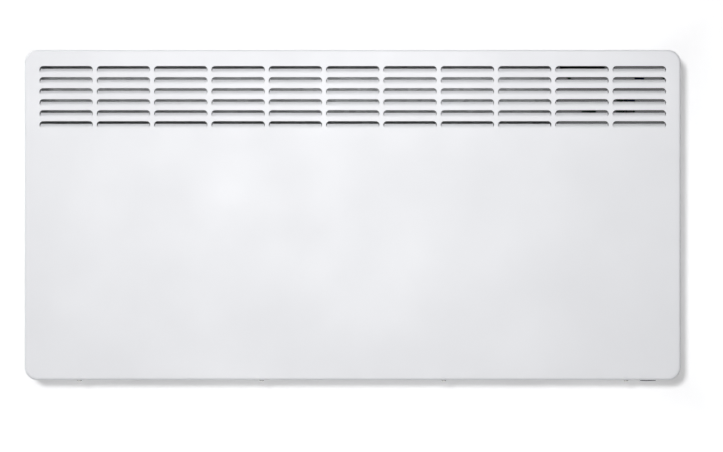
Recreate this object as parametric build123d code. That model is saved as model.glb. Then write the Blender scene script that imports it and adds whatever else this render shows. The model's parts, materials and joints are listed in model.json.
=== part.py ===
from build123d import *
from math import atan2, cos, hypot, pi, radians, sin, tan
import os

# Wall panel convector heater, in millimetres.  +Z is up, the front faces -Y and +X is to the viewer's right.
# The origin is on the wall, in the middle of the wall bracket's four screw holes.

# Casing
PANEL_W = 894.0
PANEL_H = 450.0
CASE_DEPTH = 78.0
WALL_GAP = 22.0
SHEET = 1.0
CORNER_R = 18.0
EDGE_R = 4.0
FIT = 0.3                # gap between two pieces that slide together
RUN = 0.05               # radial gap of a turning or threaded shank
LIP_H = 12.0             # return lip along the top of the cover's back
FLANGE = 12.0            # depth of the rear panel's folded edge
SPACER_FROM_SIDE = 40.0
SPACER_RISE = 34.0
SPACER_R = 8.0
BEAD_Z = (30.0, -30.0, -90.0)      # stiffening beads pressed into the rear panel
BEAD_W = 10.0
BEAD_DEPTH = 2.0

# Louvres
LOUVRE_PITCH_X = 78.0
LOUVRE_PITCH_Z = 15.0
LOUVRE_ROWS = 6
LOUVRE_L = 72.6
LOUVRE_H = 10.2
LOUVRE_GAP = 3.8         # open band above each blade
LOUVRE_DEPTH = 5.5       # how far the blade's upper edge is pressed in
LOUVRE_TOP = 22.0        # from the cover's top edge to the first cut edge
LOUVRE_SIDE = 16.0       # least margin at the sides

# Air intake under the casing
INTAKE_PITCH = 11.0
INTAKE_W = 3.8
INTAKE_L = 44.0
INTAKE_CLEAR = 16.0      # plain sheet beside each rib

# Support ribs and heating element
RIB_MARGIN = 74.0
RIB_COUNT = 4
RIB_H = 110.0
RIB_FOOT = 18.0
RIVET_INSET = 30.0       # rib rivets from each end of the rib
SCREW_INSET = 12.0       # cover screws behind the front face
COVER_SCREW_L = 9.0      # past the sheet they hold
LIP_SCREW_L = 6.0
WIRE_HOLE_R = 5.0
ELEMENT_Z = 58.0         # element axis above the casing floor
FIN_R = 26.0
FIN_T = 1.6
FIN_GAP = 4.0            # air round the fins in the middle ribs
ELEMENT_END_GAP = 14.0
TUBE_R = 4.25
TUBE_OUT = 14.0          # tube past each outer rib
CORE_WALL = 2.0
BUSH_R = 8.0
BUSH_FLANGE_R = 11.0
BUSH_OUT = 5.0
TAB_W = 6.3
TAB_T = 0.8
TAB_L = 10.0

# Air deflector behind the louvres
DEFLECTOR_T = 0.8
DEFLECTOR_DROP = 8.0     # its foot, below the lowest louvre
DEFLECTOR_FOOT = 15.0
DEFLECTOR_FRONT = 14.0   # its upper edge, behind the front face
DEFLECTOR_TOP_GAP = 10.0
DEFLECTOR_STAND = 17.0   # how far the lowest slope leads off the rear panel
DEFLECTOR_HOOD_R = 34.0  # rolled top

# Control unit
CONTROL_L = 174.0        # partition to the casing's right side
HOUSING_GAP = 6.0
HOUSING_T = 2.0
HOUSING_Z = (-129.0, -19.0)      # low and high, from the casing's top
HOUSING_Y = (8.0, 62.0)          # front and back, from the front face
VENT_H = 5.0
VENTS = ((34.0, 105.2, 62.0), (112.0, 90.4, 14.0), (93.0, 60.4, 26.0), (43.0, 45.4, 20.0), (93.0, 45.4, 26.0))
ACCESS_R = 3.2           # holes for a driver, in front of the power board's screws
FASCIA_CUT = (50.0, 100.0)
FASCIA_T = 2.0
FASCIA_R = 6.0
FASCIA_EDGE = 3.0
WINDOW = (32.0, 24.0)
WINDOW_R = 2.0
WINDOW_RISE = 27.0
BUTTON = 9.0
BUTTON_R = 2.0
BUTTON_GAP = 0.2
BUTTON_PROUD = 0.8
BUTTON_TRAVEL = 0.8
BUTTON_LIP = 1.0
BUTTON_PITCH = 18.0
BUTTON_DROP = 23.0
MAT_GAP = 0.1
MAT_T = 1.2
BOARD_T = 1.6
BOARD_DEPTH = 8.0        # display board behind the fascia
BOSS_R = 4.5
RELAY = (29.0, 24.0, 13.0)       # width, height off the board and length
TRANSFORMER = (38.0, 22.0, 32.0)
FILM_CAPACITOR = (26.0, 18.0, 10.0)
CAN_R = 5.0
CAN_H = 20.0
SCREW_R = 1.95
HEAD_R = 3.5
HEAD_H = 2.5

# Mains switch under the casing
SWITCH_FROM_SIDE = 44.0
SWITCH_FROM_FRONT = 28.0
SWITCH_BEZEL = (22.0, 30.0)
SWITCH_BODY = (19.4, 27.4)
SWITCH_H = 20.0
BEZEL_T = 1.5
ROCKER = (13.4, 20.8)
ROCKER_GAP = (0.3, 1.1)
ROCKER_H = 10.0
ROCKER_PIVOT = 5.0       # above the bezel's outer face
ROCKER_SWING = 20.0
TRUNNION_R = 1.5
TRUNNION_L = 1.8

# Wall bracket
BRACKET_T = 1.5
LEG_X = 280.0
LEG_W = 40.0
LEG_TOP = 140.0
LEG_RISE = 25.0          # leg's foot above the casing's bottom edge
LEG_SET = 2.0            # leg's edge short of the rear panel
FIX_Z = 90.0
FIX_R = 3.25
RAIL_Z = 55.0
RAIL_W = 25.0
HOOK_LOW_Z = -120.0
HOOK_H = 5.0
HOOK_LIP = 7.0
HOOK_THROAT = 5.0
HOOK_T = 3.5
LIFT = 9.0
RIVET_R = 2.0
RIVET_HEAD_R = 3.5
RIVET_HEAD_H = 1.0
LOCK_INSET = 6.0
LOCK_Y = 16.5
LOCK_T = 3.0
LOCK_HUB_R = 5.5
LOCK_REACH = 14.5
LOCK_ARM_W = 8.0
LOCK_TAB = 9.5
LOCK_GAP = 0.2
EAR_W = 16.0

# Mains inlet and inner wiring
INLET_FROM_SIDE = 30.0
INLET_Z = 62.0
INLET_R = 9.0
INLET_BORE_R = 4.0
BLOCK_SIZE = (32.0, 20.0, 22.0)
BLOCK_Z = 95.0
BLOCK_WAYS = 3
WIRE_R = 1.5
SENSOR_WIRE_R = 0.8
WIRE_STUB = 12.0         # straight run out of a terminal
TAB_STUB = 6.0

# Places worked out from the sizes above
X_SIDE = PANEL_W / 2
X_INNER = X_SIDE - SHEET
Z_TOP = PANEL_H / 2
Z_BOTTOM = -PANEL_H / 2
Z_FLOOR = Z_BOTTOM + SHEET
Y_LIP = -WALL_GAP
Y_BACK = Y_LIP - SHEET
Y_PANEL = Y_BACK - SHEET
Y_FRONT = -(WALL_GAP + CASE_DEPTH)
Y_FACE = Y_FRONT + SHEET
LOUVRE_COLS = int((PANEL_W - 2 * LOUVRE_SIDE + LOUVRE_PITCH_X - LOUVRE_L) // LOUVRE_PITCH_X)
RIB_PITCH = (PANEL_W - 2 * RIB_MARGIN) / (RIB_COUNT - 1)
RIB_X = [(i - (RIB_COUNT - 1) / 2) * RIB_PITCH for i in range(RIB_COUNT)]
RIB_TOP = Z_FLOOR + RIB_H
ELEMENT_Y = (Y_FACE + Y_PANEL) / 2
ELEMENT_AXIS_Z = Z_FLOOR + ELEMENT_Z
WEB_OUTER_X = RIB_X[-1] - RIB_FOOT / 2
WIRE_HOLE_Y = Y_PANEL - FLANGE + 2
WIRE_HOLE_Z = RIB_TOP - 12
SCREW_Y = Y_FRONT + SCREW_INSET
PARTITION_X = X_SIDE - CONTROL_L
HOUSING_X0 = PARTITION_X + HOUSING_GAP
FASCIA_X = X_INNER - FASCIA_T
HOUSING_Y0 = Y_FRONT + HOUSING_Y[0]
HOUSING_Y1 = Y_FRONT + HOUSING_Y[1]
HOUSING_Z0 = Z_TOP + HOUSING_Z[0]
HOUSING_Z1 = Z_TOP + HOUSING_Z[1]
CONTROL_Y = (HOUSING_Y0 + HOUSING_Y1) / 2
CONTROL_Z = (HOUSING_Z0 + HOUSING_Z1) / 2
WINDOW_Z = CONTROL_Z + WINDOW_RISE
BOARD_X = FASCIA_X - BOARD_DEPTH
SWITCH_X = X_SIDE - SWITCH_FROM_SIDE
SWITCH_Y = Y_FRONT + SWITCH_FROM_FRONT
BEZEL_Z = Z_BOTTOM - BEZEL_T
PIVOT_Z = BEZEL_Z + ROCKER_PIVOT
LEG_BOTTOM = Z_BOTTOM + LEG_RISE
LEG_FRONT = -(WALL_GAP - LEG_SET)
BEAD_L = 2 * LEG_X - 2 * LEG_W
HOOK_X = LEG_X + LEG_W / 2 - BRACKET_T / 2
LOCK_X = LEG_X - LOCK_INSET
INLET_X = X_SIDE - INLET_FROM_SIDE
INLET_AXIS_Z = Z_FLOOR + INLET_Z
BLOCK_X = INLET_X
BLOCK_Z0 = Z_FLOOR + BLOCK_Z


def block(x, y, z):
    """A box from its low and high limits along X, Y and Z."""
    size = Box(x[1] - x[0], y[1] - y[0], z[1] - z[0])
    return Pos((x[0] + x[1]) / 2, (y[0] + y[1]) / 2, (z[0] + z[1]) / 2) * size


def about(middle, width):
    """The low and high limits of a width about its middle."""
    return (middle - width / 2, middle + width / 2)


def rod_x(radius, x, y, z):
    return Pos((x[0] + x[1]) / 2, y, z) * Rot(0, 90, 0) * Cylinder(radius, x[1] - x[0])


def rod_y(radius, x, y, z):
    return Pos(x, (y[0] + y[1]) / 2, z) * Rot(90, 0, 0) * Cylinder(radius, y[1] - y[0])


def rod_z(radius, x, y, z):
    return Pos(x, y, (z[0] + z[1]) / 2) * Cylinder(radius, z[1] - z[0])


def plate_y(sketch, y):
    """A flat sketch of X and Z, as thick as the limits along Y."""
    return extrude(Plane.XZ.offset(-y[1]) * sketch, y[1] - y[0])


def plate_x(sketch, x):
    """A flat sketch of Y and Z, as thick as the limits along X."""
    return extrude(Plane.YZ.offset(x[0]) * sketch, x[1] - x[0])


def casing_sketch(inset):
    return RectangleRounded(PANEL_W - 2 * inset, PANEL_H - 2 * inset, CORNER_R - inset)


def rounded_side(size, radius, y, z):
    """A rounded rectangle in the YZ plane, at a place on the casing's side."""
    return Pos(y, z) * RectangleRounded(size[0], size[1], radius)


# ---- cover ----

def louvre_places():
    first_z = Z_TOP - LOUVRE_TOP - LOUVRE_H / 2
    return [
        Pos((col - (LOUVRE_COLS - 1) / 2) * LOUVRE_PITCH_X, 0, first_z - row * LOUVRE_PITCH_Z)
        for col in range(LOUVRE_COLS)
        for row in range(LOUVRE_ROWS)
    ]


def louvre_section(points, extra):
    """A side profile of a louvre, drawn out along X and cut to the louvre's rounded outline."""
    length = LOUVRE_L + 2 * extra
    height = LOUVRE_H + 2 * extra
    profile = plate_x(Polygon(*points), (-length / 2, length / 2))
    outline = plate_y(SlotOverall(length, height), (Y_FRONT - SHEET, Y_FRONT + 2 * LOUVRE_DEPTH))
    return profile & outline


def louvre_blade():
    """The pressed blade with its closed ends, as a full block behind the face."""
    rise = LOUVRE_H - LOUVRE_GAP
    slope = hypot(rise, LOUVRE_DEPTH)
    edge_z = LOUVRE_H / 2 - LOUVRE_GAP
    back_y = Y_FRONT + LOUVRE_DEPTH + SHEET * slope / rise
    start_y = Y_FRONT + SHEET / 2
    start_z = edge_z - (back_y - start_y) * rise / LOUVRE_DEPTH
    return louvre_section([(start_y, start_z), (back_y, edge_z), (start_y, edge_z)], SHEET)


def louvre_hollow():
    """The open band above the blade and the pocket in front of it."""
    rise = LOUVRE_H - LOUVRE_GAP
    edge_z = LOUVRE_H / 2 - LOUVRE_GAP
    front_y = Y_FRONT - SHEET
    front_z = edge_z - (LOUVRE_DEPTH + SHEET) * rise / LOUVRE_DEPTH
    back_y = Y_FRONT + LOUVRE_DEPTH
    points = [(front_y, front_z), (back_y, edge_z), (back_y, LOUVRE_H), (front_y, LOUVRE_H)]
    return louvre_section(points, 0)


def intake_slots():
    """Rows of slots under the casing, in the bays between the ribs."""
    slots = []
    middle_y = (Y_FACE + Y_PANEL - FLANGE) / 2
    slot = Rot(0, 0, 90) * SlotOverall(INTAKE_L, INTAKE_W)
    cutter = extrude(slot, 3 * SHEET)
    for left, right in zip(RIB_X[:-1], RIB_X[1:]):
        room = right - left - 2 * INTAKE_CLEAR
        count = int(room // INTAKE_PITCH) + 1
        for i in range(count):
            x = (left + right) / 2 + (i - (count - 1) / 2) * INTAKE_PITCH
            slots.append(Pos(x, middle_y, Z_BOTTOM - SHEET) * cutter)
    return slots


def front_cover():
    outer = plate_y(casing_sketch(0), (Y_FRONT, Y_LIP))
    outer = fillet(outer.edges().group_by(Axis.Y)[0], EDGE_R)
    inner = plate_y(casing_sketch(SHEET), (Y_FACE, Y_LIP))
    inner = fillet(inner.edges().group_by(Axis.Y)[0], EDGE_R - SHEET)
    cover = outer - inner
    lip_z = Z_TOP - SHEET - LIP_H
    cover += block(about(0, PANEL_W - 2 * CORNER_R), (Y_BACK, Y_LIP), (lip_z, Z_TOP - SHEET / 2))
    places = louvre_places()
    blade = louvre_blade()
    hollow = louvre_hollow()
    cover += [place * blade for place in places]
    cover -= [place * hollow for place in places]
    cutters = intake_slots()
    cutters += [rod_z(SCREW_R + FIT, x, SCREW_Y, (Z_BOTTOM - SHEET, Z_FLOOR + SHEET)) for x in RIB_X]
    cutters += [rod_y(SCREW_R + FIT, x, (Y_PANEL, Y_LIP + SHEET), lip_screw_z()) for x in lip_screw_x()]
    cutters.append(plate_x(
        rounded_side(FASCIA_CUT, FASCIA_R, CONTROL_Y, CONTROL_Z), (X_INNER - SHEET, X_SIDE + SHEET)))
    cutters.append(block(
        about(SWITCH_X, SWITCH_BODY[0] + 2 * FIT), about(SWITCH_Y, SWITCH_BODY[1] + 2 * FIT),
        (Z_BOTTOM - SHEET, Z_FLOOR + SHEET)))
    return cover - cutters


def lip_screw_x():
    return [(i - 2) * (PANEL_W - 2 * RIB_MARGIN) / 4 for i in range(5)]


def lip_screw_z():
    return Z_TOP - SHEET - LIP_H / 2


def cover_screws():
    """Four pan-head screws up through the cover's floor into the rib feet."""
    screws = []
    for x in RIB_X:
        head = rod_z(HEAD_R, x, SCREW_Y, (Z_BOTTOM - HEAD_H, Z_BOTTOM))
        head = fillet(head.edges().group_by(Axis.Z)[0], HEAD_H * 0.45)
        screws.append(head + rod_z(SCREW_R, x, SCREW_Y, (Z_BOTTOM, Z_FLOOR + COVER_SCREW_L)))
    return screws


def lip_screws():
    """Five screws from behind, through the cover's lip into the rear panel."""
    screws = []
    for x in lip_screw_x():
        head = rod_y(HEAD_R, x, (Y_LIP, Y_LIP + HEAD_H * 0.8), lip_screw_z())
        screws.append(head + rod_y(SCREW_R, x, (Y_PANEL - LIP_SCREW_L, Y_LIP), lip_screw_z()))
    return screws


# ---- rear panel and what it carries ----

def hook_heights():
    """The upper hooks sit just below the deflector's foot, clear of it when the heater is lifted."""
    return (deflector_foot_z() - HOOK_LIP - LIFT, HOOK_LOW_Z)


def hook_places():
    return [(side * HOOK_X, z) for side in (-1, 1) for z in hook_heights()]


def rib_rivet_heights():
    return (Z_FLOOR + RIVET_INSET, RIB_TOP - RIVET_INSET)


def rivet_places():
    """Two rivets on each rib's rear flange and a row along the deflector's foot."""
    places = [(rib_flange_x(x), z) for x in RIB_X for z in rib_rivet_heights()]
    foot_z = deflector_foot_z() + DEFLECTOR_FOOT / 2
    places += [(x, foot_z) for x in RIB_X[:-1]]
    return places


def housing_screw_places():
    inset = BOSS_R + HOUSING_T
    return [
        (x, z)
        for x in (HOUSING_X0 + inset, FASCIA_X - 2 * inset)
        for z in (HOUSING_Z0 + inset, HOUSING_Z1 - inset)
    ]


def rear_panel():
    """A shallow tray with pressed beads, an ear for each catch and slots for the bracket's hooks."""
    gap = SHEET + FIT
    outer = plate_y(casing_sketch(gap), (Y_BACK - FLANGE, Y_BACK))
    inner = plate_y(casing_sketch(gap + SHEET), (Y_BACK - FLANGE, Y_PANEL))
    panel = outer - inner
    panel += [
        block(about(side * LOCK_X, EAR_W), (Y_PANEL, -LOCK_Y + LOCK_HUB_R), (LEG_BOTTOM, LEG_BOTTOM + SHEET))
        for side in (-1, 1)
    ]
    front_bead = SlotOverall(BEAD_L, BEAD_W)
    back_bead = SlotOverall(BEAD_L - 2 * SHEET, BEAD_W - 2 * SHEET)
    panel += [plate_y(Pos(0, z) * front_bead, (Y_PANEL - BEAD_DEPTH, Y_PANEL)) for z in BEAD_Z]
    panel -= [plate_y(Pos(0, z) * back_bead, (Y_BACK - BEAD_DEPTH, Y_BACK + SHEET)) for z in BEAD_Z]
    through = (Y_PANEL - SHEET, Y_BACK + SHEET)
    slot_h = HOOK_H + LIFT
    cutters = [
        block(about(x, HOOK_T), through, (z - slot_h, z)) for x, z in hook_places()
    ]
    cutters += [rod_y(RIVET_R + RUN, x, through, z) for x, z in rivet_places()]
    cutters += [rod_y(SCREW_R + RUN, x, through, z) for x, z in housing_screw_places()]
    cutters += [rod_y(SCREW_R + RUN, x, through, lip_screw_z()) for x in lip_screw_x()]
    cutters += [rod_y(SCREW_R + RUN, x, through, z) for x, z in (earth_place(), sensor_screw_place())]
    cutters += [rod_y(SCREW_R + RUN, x, through, z) for x, z in block_screw_places()]
    cutters.append(rod_y(INLET_R + RUN, INLET_X, through, INLET_AXIS_Z))
    cutters += [
        rod_z(RIVET_R + RUN, side * LOCK_X, -LOCK_Y, (LEG_BOTTOM - SHEET, LEG_BOTTOM + 2 * SHEET))
        for side in (-1, 1)
    ]
    return panel - cutters


def rib_flange_x(x):
    return x + (RIB_FOOT / 2 - 6) * (1 if x > 0 else -1)


def support_rib(x):
    """A folded rib: web across the casing, foot on its floor, flanges at the back and on top."""
    out = 1 if x > 0 else -1
    web_x = sorted((x - out * RIB_FOOT / 2, x - out * (RIB_FOOT / 2 - SHEET)))
    wide = sorted((x - out * RIB_FOOT / 2, x + out * RIB_FOOT / 2))
    front = Y_FRONT + EDGE_R + FIT
    notch_z = Z_FLOOR + FIT + 2 * SHEET
    notch_y = Y_BACK - FLANGE - SHEET
    rib = block(web_x, (front, Y_PANEL), (Z_FLOOR, RIB_TOP))
    rib += block(wide, (front, notch_y), (Z_FLOOR, Z_FLOOR + SHEET))
    rib += block(wide, (Y_PANEL - SHEET, Y_PANEL), (notch_z, RIB_TOP))
    rib += block(wide, (front, Y_PANEL), (RIB_TOP - SHEET, RIB_TOP))
    rib -= block(wide, (notch_y, Y_PANEL), (Z_FLOOR, notch_z))
    rib -= rod_z(SCREW_R + RUN, x, SCREW_Y, (Z_BOTTOM, Z_FLOOR + 2 * SHEET))
    rib -= rod_x(WIRE_HOLE_R, wide, WIRE_HOLE_Y, WIRE_HOLE_Z)
    outer_rib = abs(x) > RIB_PITCH
    bore = BUSH_R + RUN if outer_rib else FIN_R + FIN_GAP
    rib -= rod_x(bore, (web_x[0] - SHEET, web_x[1] + SHEET), ELEMENT_Y, ELEMENT_AXIS_Z)
    flange_through = (Y_PANEL - 2 * SHEET, Y_PANEL + SHEET)
    rib -= [
        rod_y(RIVET_R + RUN, rib_flange_x(x), flange_through, z) for z in rib_rivet_heights()
    ]
    return rib


def chassis_rivets():
    """Rivets that hold the ribs and the deflector to the rear panel."""
    rivets = []
    for x, z in rivet_places():
        front = Y_PANEL - (SHEET if z < 0 else DEFLECTOR_T)
        rivet = rod_y(RIVET_R, x, (front, Y_BACK), z)
        rivet += rod_y(RIVET_HEAD_R, x, (Y_BACK, Y_BACK + RIVET_HEAD_H), z)
        rivet += rod_y(RIVET_HEAD_R, x, (front - RIVET_HEAD_H, front), z)
        rivets.append(rivet)
    return rivets


def heating_element():
    """An extruded heater body: a core with four fins, each with cross blades."""
    half = WEB_OUTER_X - ELEMENT_END_GAP
    profile = Circle(TUBE_R + CORE_WALL)
    for angle in (45, 135, 225, 315):
        fin = Pos(FIN_R / 2, 0) * Rectangle(FIN_R, FIN_T)
        for step in (0.5, 0.72, 0.94):
            fin += Pos(FIN_R * step, 0) * Rectangle(FIN_T, FIN_R * step * 0.8)
        profile += Rot(0, 0, angle) * fin
    profile -= Circle(TUBE_R + RUN)
    return plate_x(Pos(ELEMENT_Y, ELEMENT_AXIS_Z) * profile, (-half, half))


def element_tube():
    half = WEB_OUTER_X + TUBE_OUT
    return rod_x(TUBE_R, (-half, half), ELEMENT_Y, ELEMENT_AXIS_Z)


def element_bushings():
    """A ceramic bush in each outer rib, its flange on the rib's inner face."""
    bushings = []
    for side in (-1, 1):
        inner = side * (WEB_OUTER_X - BUSH_OUT)
        flange = side * WEB_OUTER_X
        outer = side * (WEB_OUTER_X + SHEET + BUSH_OUT)
        bush = rod_x(BUSH_FLANGE_R, sorted((inner, flange)), ELEMENT_Y, ELEMENT_AXIS_Z)
        bush += rod_x(BUSH_R, sorted((flange, outer)), ELEMENT_Y, ELEMENT_AXIS_Z)
        bushings.append(bush - rod_x(TUBE_R + RUN, sorted((inner, outer)), ELEMENT_Y, ELEMENT_AXIS_Z))
    return bushings


def element_terminals():
    """A threaded pin and a flat tab on each end of the tube."""
    terminals = []
    for side in (-1, 1):
        start = side * (WEB_OUTER_X + TUBE_OUT)
        middle = start + side * 5
        end = middle + side * TAB_L
        pin = rod_x(2, sorted((start, middle)), ELEMENT_Y, ELEMENT_AXIS_Z)
        tab = block(sorted((middle - side, end)), about(ELEMENT_Y, TAB_T), about(ELEMENT_AXIS_Z, TAB_W))
        terminals.append(pin + tab)
    return terminals


def deflector_foot_z():
    lowest = Z_TOP - LOUVRE_TOP - LOUVRE_H - (LOUVRE_ROWS - 1) * LOUVRE_PITCH_Z
    return lowest - DEFLECTOR_DROP - DEFLECTOR_FOOT


def sheet_section(front, thickness):
    """Section of a bent sheet from its front line, given upwards; the back line is mitred."""
    leans = [atan2(b[0] - a[0], b[1] - a[1]) for a, b in zip(front, front[1:])]
    leans = leans[:1] + leans + leans[-1:]
    back = []
    for (y, z), below, above in zip(front, leans, leans[1:]):
        lean = (below + above) / 2
        reach = thickness / cos((below - above) / 2)
        back.append((y + reach * cos(lean), z - reach * sin(lean)))
    return Polygon(*back, *reversed(front))


def air_deflector():
    """A bent sheet with a rolled top that turns the rising air forwards through the louvres."""
    foot = deflector_foot_z()
    bend = foot + DEFLECTOR_FOOT
    tip_y = Y_FRONT + DEFLECTOR_FRONT
    tip_z = Z_TOP - DEFLECTOR_TOP_GAP
    back = Y_PANEL - DEFLECTOR_T
    radius = DEFLECTOR_HOOD_R
    hood_y = tip_y + radius - DEFLECTOR_T
    hood_z = tip_z - radius
    front = [
        (back, foot), (back, bend), (back - DEFLECTOR_STAND, bend + DEFLECTOR_STAND),
        (hood_y, hood_z - DEFLECTOR_T * 5), (hood_y, hood_z)]
    hood = Pos(tip_y, hood_z) * (Circle(radius) - Circle(radius - DEFLECTOR_T))
    hood &= Pos(tip_y + radius / 2, hood_z + radius / 2) * Rectangle(radius, radius)
    x = (-(X_INNER - 2 * SHEET - FIT), PARTITION_X - FIT)
    sheet = plate_x(sheet_section(front, DEFLECTOR_T), x) + plate_x(hood, x)
    through = (back - SHEET, Y_PANEL + SHEET)
    return sheet - [
        rod_y(RIVET_R + RUN, rib, through, foot + DEFLECTOR_FOOT / 2) for rib in RIB_X[:-1]
    ]


def partition():
    """A sheet wall between the warm air and the control unit, with a flange on the rear panel."""
    z = (deflector_foot_z(), Z_TOP - SHEET - FIT - SHEET - FIT)
    wall = block((PARTITION_X, PARTITION_X + SHEET), (Y_FACE + LOUVRE_DEPTH + 2, Y_PANEL), z)
    wall += block((PARTITION_X, PARTITION_X + HOUSING_GAP - FIT), (Y_PANEL - SHEET, Y_PANEL), z)
    return wall


def wall_spacers():
    """Two rubber buffers that keep the casing's lower edge off the wall."""
    z = Z_FLOOR + SPACER_RISE
    spacers = []
    for side in (-1, 1):
        spacer = rod_y(SPACER_R, side * (X_SIDE - SPACER_FROM_SIDE), (Y_BACK, 0), z)
        spacers.append(fillet(spacer.edges().group_by(Axis.Y)[-1], 2))
    return spacers


# ---- control unit ----

def board_y():
    """Front and back of the power board."""
    back = HOUSING_Y1 - HOUSING_T - 4.4
    return (back - BOARD_T, back)


def power_board_limits():
    x = (HOUSING_X0 + HOUSING_T + 2, BOARD_X - 6)
    z = (HOUSING_Z0 + HOUSING_T + 2, HOUSING_Z1 - HOUSING_T - 2)
    return x, z


def board_screw_places():
    x, z = power_board_limits()
    return [(px, pz) for px in (x[0] + 12, x[1] - 5) for pz in (z[0] + 14, z[1] - 14)]


def terminal_ways():
    """Where the five wires enter the board's terminal row."""
    middle = (HOUSING_X0 + BOARD_X) / 2
    return [middle + (i - 2) * 10 for i in range(5)]


def board_terminal_limits():
    ways = terminal_ways()
    front = board_y()[0]
    return (ways[0] - 6, ways[-1] + 6), (front - 16, front), about(power_board_limits()[1][0] + 8, 12)


def control_housing():
    """A black box, open at the fascia, with vents to the front, on four bosses off the rear panel."""
    housing = block((HOUSING_X0, FASCIA_X), (HOUSING_Y0, HOUSING_Y1), (HOUSING_Z0, HOUSING_Z1))
    housing -= block(
        (HOUSING_X0 + HOUSING_T, FASCIA_X), (HOUSING_Y0 + HOUSING_T, HOUSING_Y1 - HOUSING_T),
        (HOUSING_Z0 + HOUSING_T, HOUSING_Z1 - HOUSING_T))
    front = (HOUSING_Y0 - SHEET, HOUSING_Y0 + HOUSING_T + SHEET)
    housing -= [
        plate_y(Pos(HOUSING_X0 + x, HOUSING_Z0 + z) * SlotOverall(length, VENT_H), front)
        for x, z, length in VENTS
    ]
    housing -= [rod_y(ACCESS_R, x, front, z) for x, z in board_screw_places()]
    housing += [rod_y(BOSS_R, x, (HOUSING_Y1 - HOUSING_T, Y_PANEL), z) for x, z in housing_screw_places()]
    housing += [
        rod_y(3, x, (board_y()[1], HOUSING_Y1 - HOUSING_T), z) for x, z in board_screw_places()
    ]
    housing -= [rod_y(SCREW_R + RUN, x, (Y_PANEL - 11, Y_PANEL), z) for x, z in housing_screw_places()]
    housing -= [
        rod_y(1.2 + RUN, x, (board_y()[1], board_y()[1] + 5), z) for x, z in board_screw_places()
    ]
    x, y, z = board_terminal_limits()
    housing -= block(x, y, (HOUSING_Z0 - SHEET, HOUSING_Z0 + HOUSING_T + SHEET))
    return housing


def housing_screws():
    screws = []
    for x, z in housing_screw_places():
        head = rod_y(HEAD_R, x, (Y_BACK, Y_BACK + HEAD_H * 0.8), z)
        screws.append(head + rod_y(SCREW_R, x, (Y_PANEL - 10, Y_BACK), z))
    return screws


def button_places():
    """Four keys in a square: name, Y and Z."""
    low = CONTROL_Z - BUTTON_DROP - BUTTON_PITCH / 2
    return {
        "button_menu": (CONTROL_Y - BUTTON_PITCH / 2, low + BUTTON_PITCH),
        "button_mode": (CONTROL_Y + BUTTON_PITCH / 2, low + BUTTON_PITCH),
        "button_down": (CONTROL_Y - BUTTON_PITCH / 2, low),
        "button_up": (CONTROL_Y + BUTTON_PITCH / 2, low),
    }


def control_fascia():
    """The control panel that fills the opening in the casing's side, with a flange inside it."""
    flange = (FASCIA_CUT[0] + 2 * FASCIA_EDGE, FASCIA_CUT[1] + 2 * FASCIA_EDGE)
    land = (FASCIA_CUT[0] - 2 * FIT, FASCIA_CUT[1] - 2 * FIT)
    fascia = plate_x(rounded_side(flange, FASCIA_R, CONTROL_Y, CONTROL_Z), (FASCIA_X, X_INNER))
    fascia += plate_x(rounded_side(land, FASCIA_R - FIT, CONTROL_Y, CONTROL_Z), (FASCIA_X, X_SIDE))
    through = (FASCIA_X - SHEET, X_SIDE + SHEET)
    hole = (WINDOW[0] + 2 * BUTTON_GAP, WINDOW[1] + 2 * BUTTON_GAP)
    cutters = [plate_x(rounded_side(hole, WINDOW_R + BUTTON_GAP, CONTROL_Y, WINDOW_Z), through)]
    side = BUTTON + 2 * BUTTON_GAP
    cutters += [
        plate_x(rounded_side((side, side), BUTTON_R + BUTTON_GAP, y, z), through)
        for y, z in button_places().values()
    ]
    return fascia - cutters


def display_window():
    return plate_x(rounded_side(WINDOW, WINDOW_R, CONTROL_Y, WINDOW_Z), (FASCIA_X, X_SIDE - 0.2))


def push_button(y, z):
    """A key with a lip behind the fascia, which stops it falling out."""
    back = FASCIA_X - 0.3
    cap = plate_x(rounded_side((BUTTON, BUTTON), BUTTON_R, y, z), (back, X_SIDE + BUTTON_PROUD))
    cap = fillet(cap.edges().group_by(Axis.X)[-1], 0.4)
    lip = BUTTON + 2 * BUTTON_LIP
    return cap + plate_x(rounded_side((lip, lip), BUTTON_R, y, z), (back - 0.8, back))


def display_board():
    y = (HOUSING_Y0 + HOUSING_T + FIT, HOUSING_Y1 - HOUSING_T - FIT)
    z = (HOUSING_Z0 + HOUSING_T + FIT, HOUSING_Z1 - HOUSING_T - FIT)
    return block((BOARD_X - BOARD_T, BOARD_X), y, z)


def display_module():
    """The liquid crystal display in its frame, between the board and the window."""
    size = (WINDOW[0] + 4, WINDOW[1] + 4)
    return plate_x(rounded_side(size, 1, CONTROL_Y, WINDOW_Z), (BOARD_X, FASCIA_X - FIT))


def keypad_mat():
    """A silicone mat with a dome under each key."""
    top = FASCIA_X - 0.3 - 0.8 - BUTTON_TRAVEL - MAT_GAP
    places = list(button_places().values())
    middle_z = sum(z for _, z in places) / len(places)
    side = BUTTON_PITCH + BUTTON + 4
    mat = plate_x(rounded_side((side, side), 2, CONTROL_Y, middle_z), (BOARD_X, BOARD_X + MAT_T))
    for y, z in places:
        dome = rod_x(3.2, (BOARD_X + MAT_T, top), y, z)
        mat += fillet(dome.edges().group_by(Axis.X)[-1], 1)
    return mat


def power_board():
    x, z = power_board_limits()
    board = block(x, board_y(), z)
    return board - [rod_y(1.2 + RUN, px, board_y(), pz) for px, pz in board_screw_places()]


def board_screws():
    front, back = board_y()
    screws = []
    for x, z in board_screw_places():
        screws.append(rod_y(2.4, x, (front - 1.6, front), z) + rod_y(1.2, x, (front, back + 4), z))
    return screws


def on_board(x, size, z):
    """A part that stands on the power board: width, height off the board and length."""
    front = board_y()[0]
    return block(about(x, size[0]), (front - size[1], front), about(z, size[2]))


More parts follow.
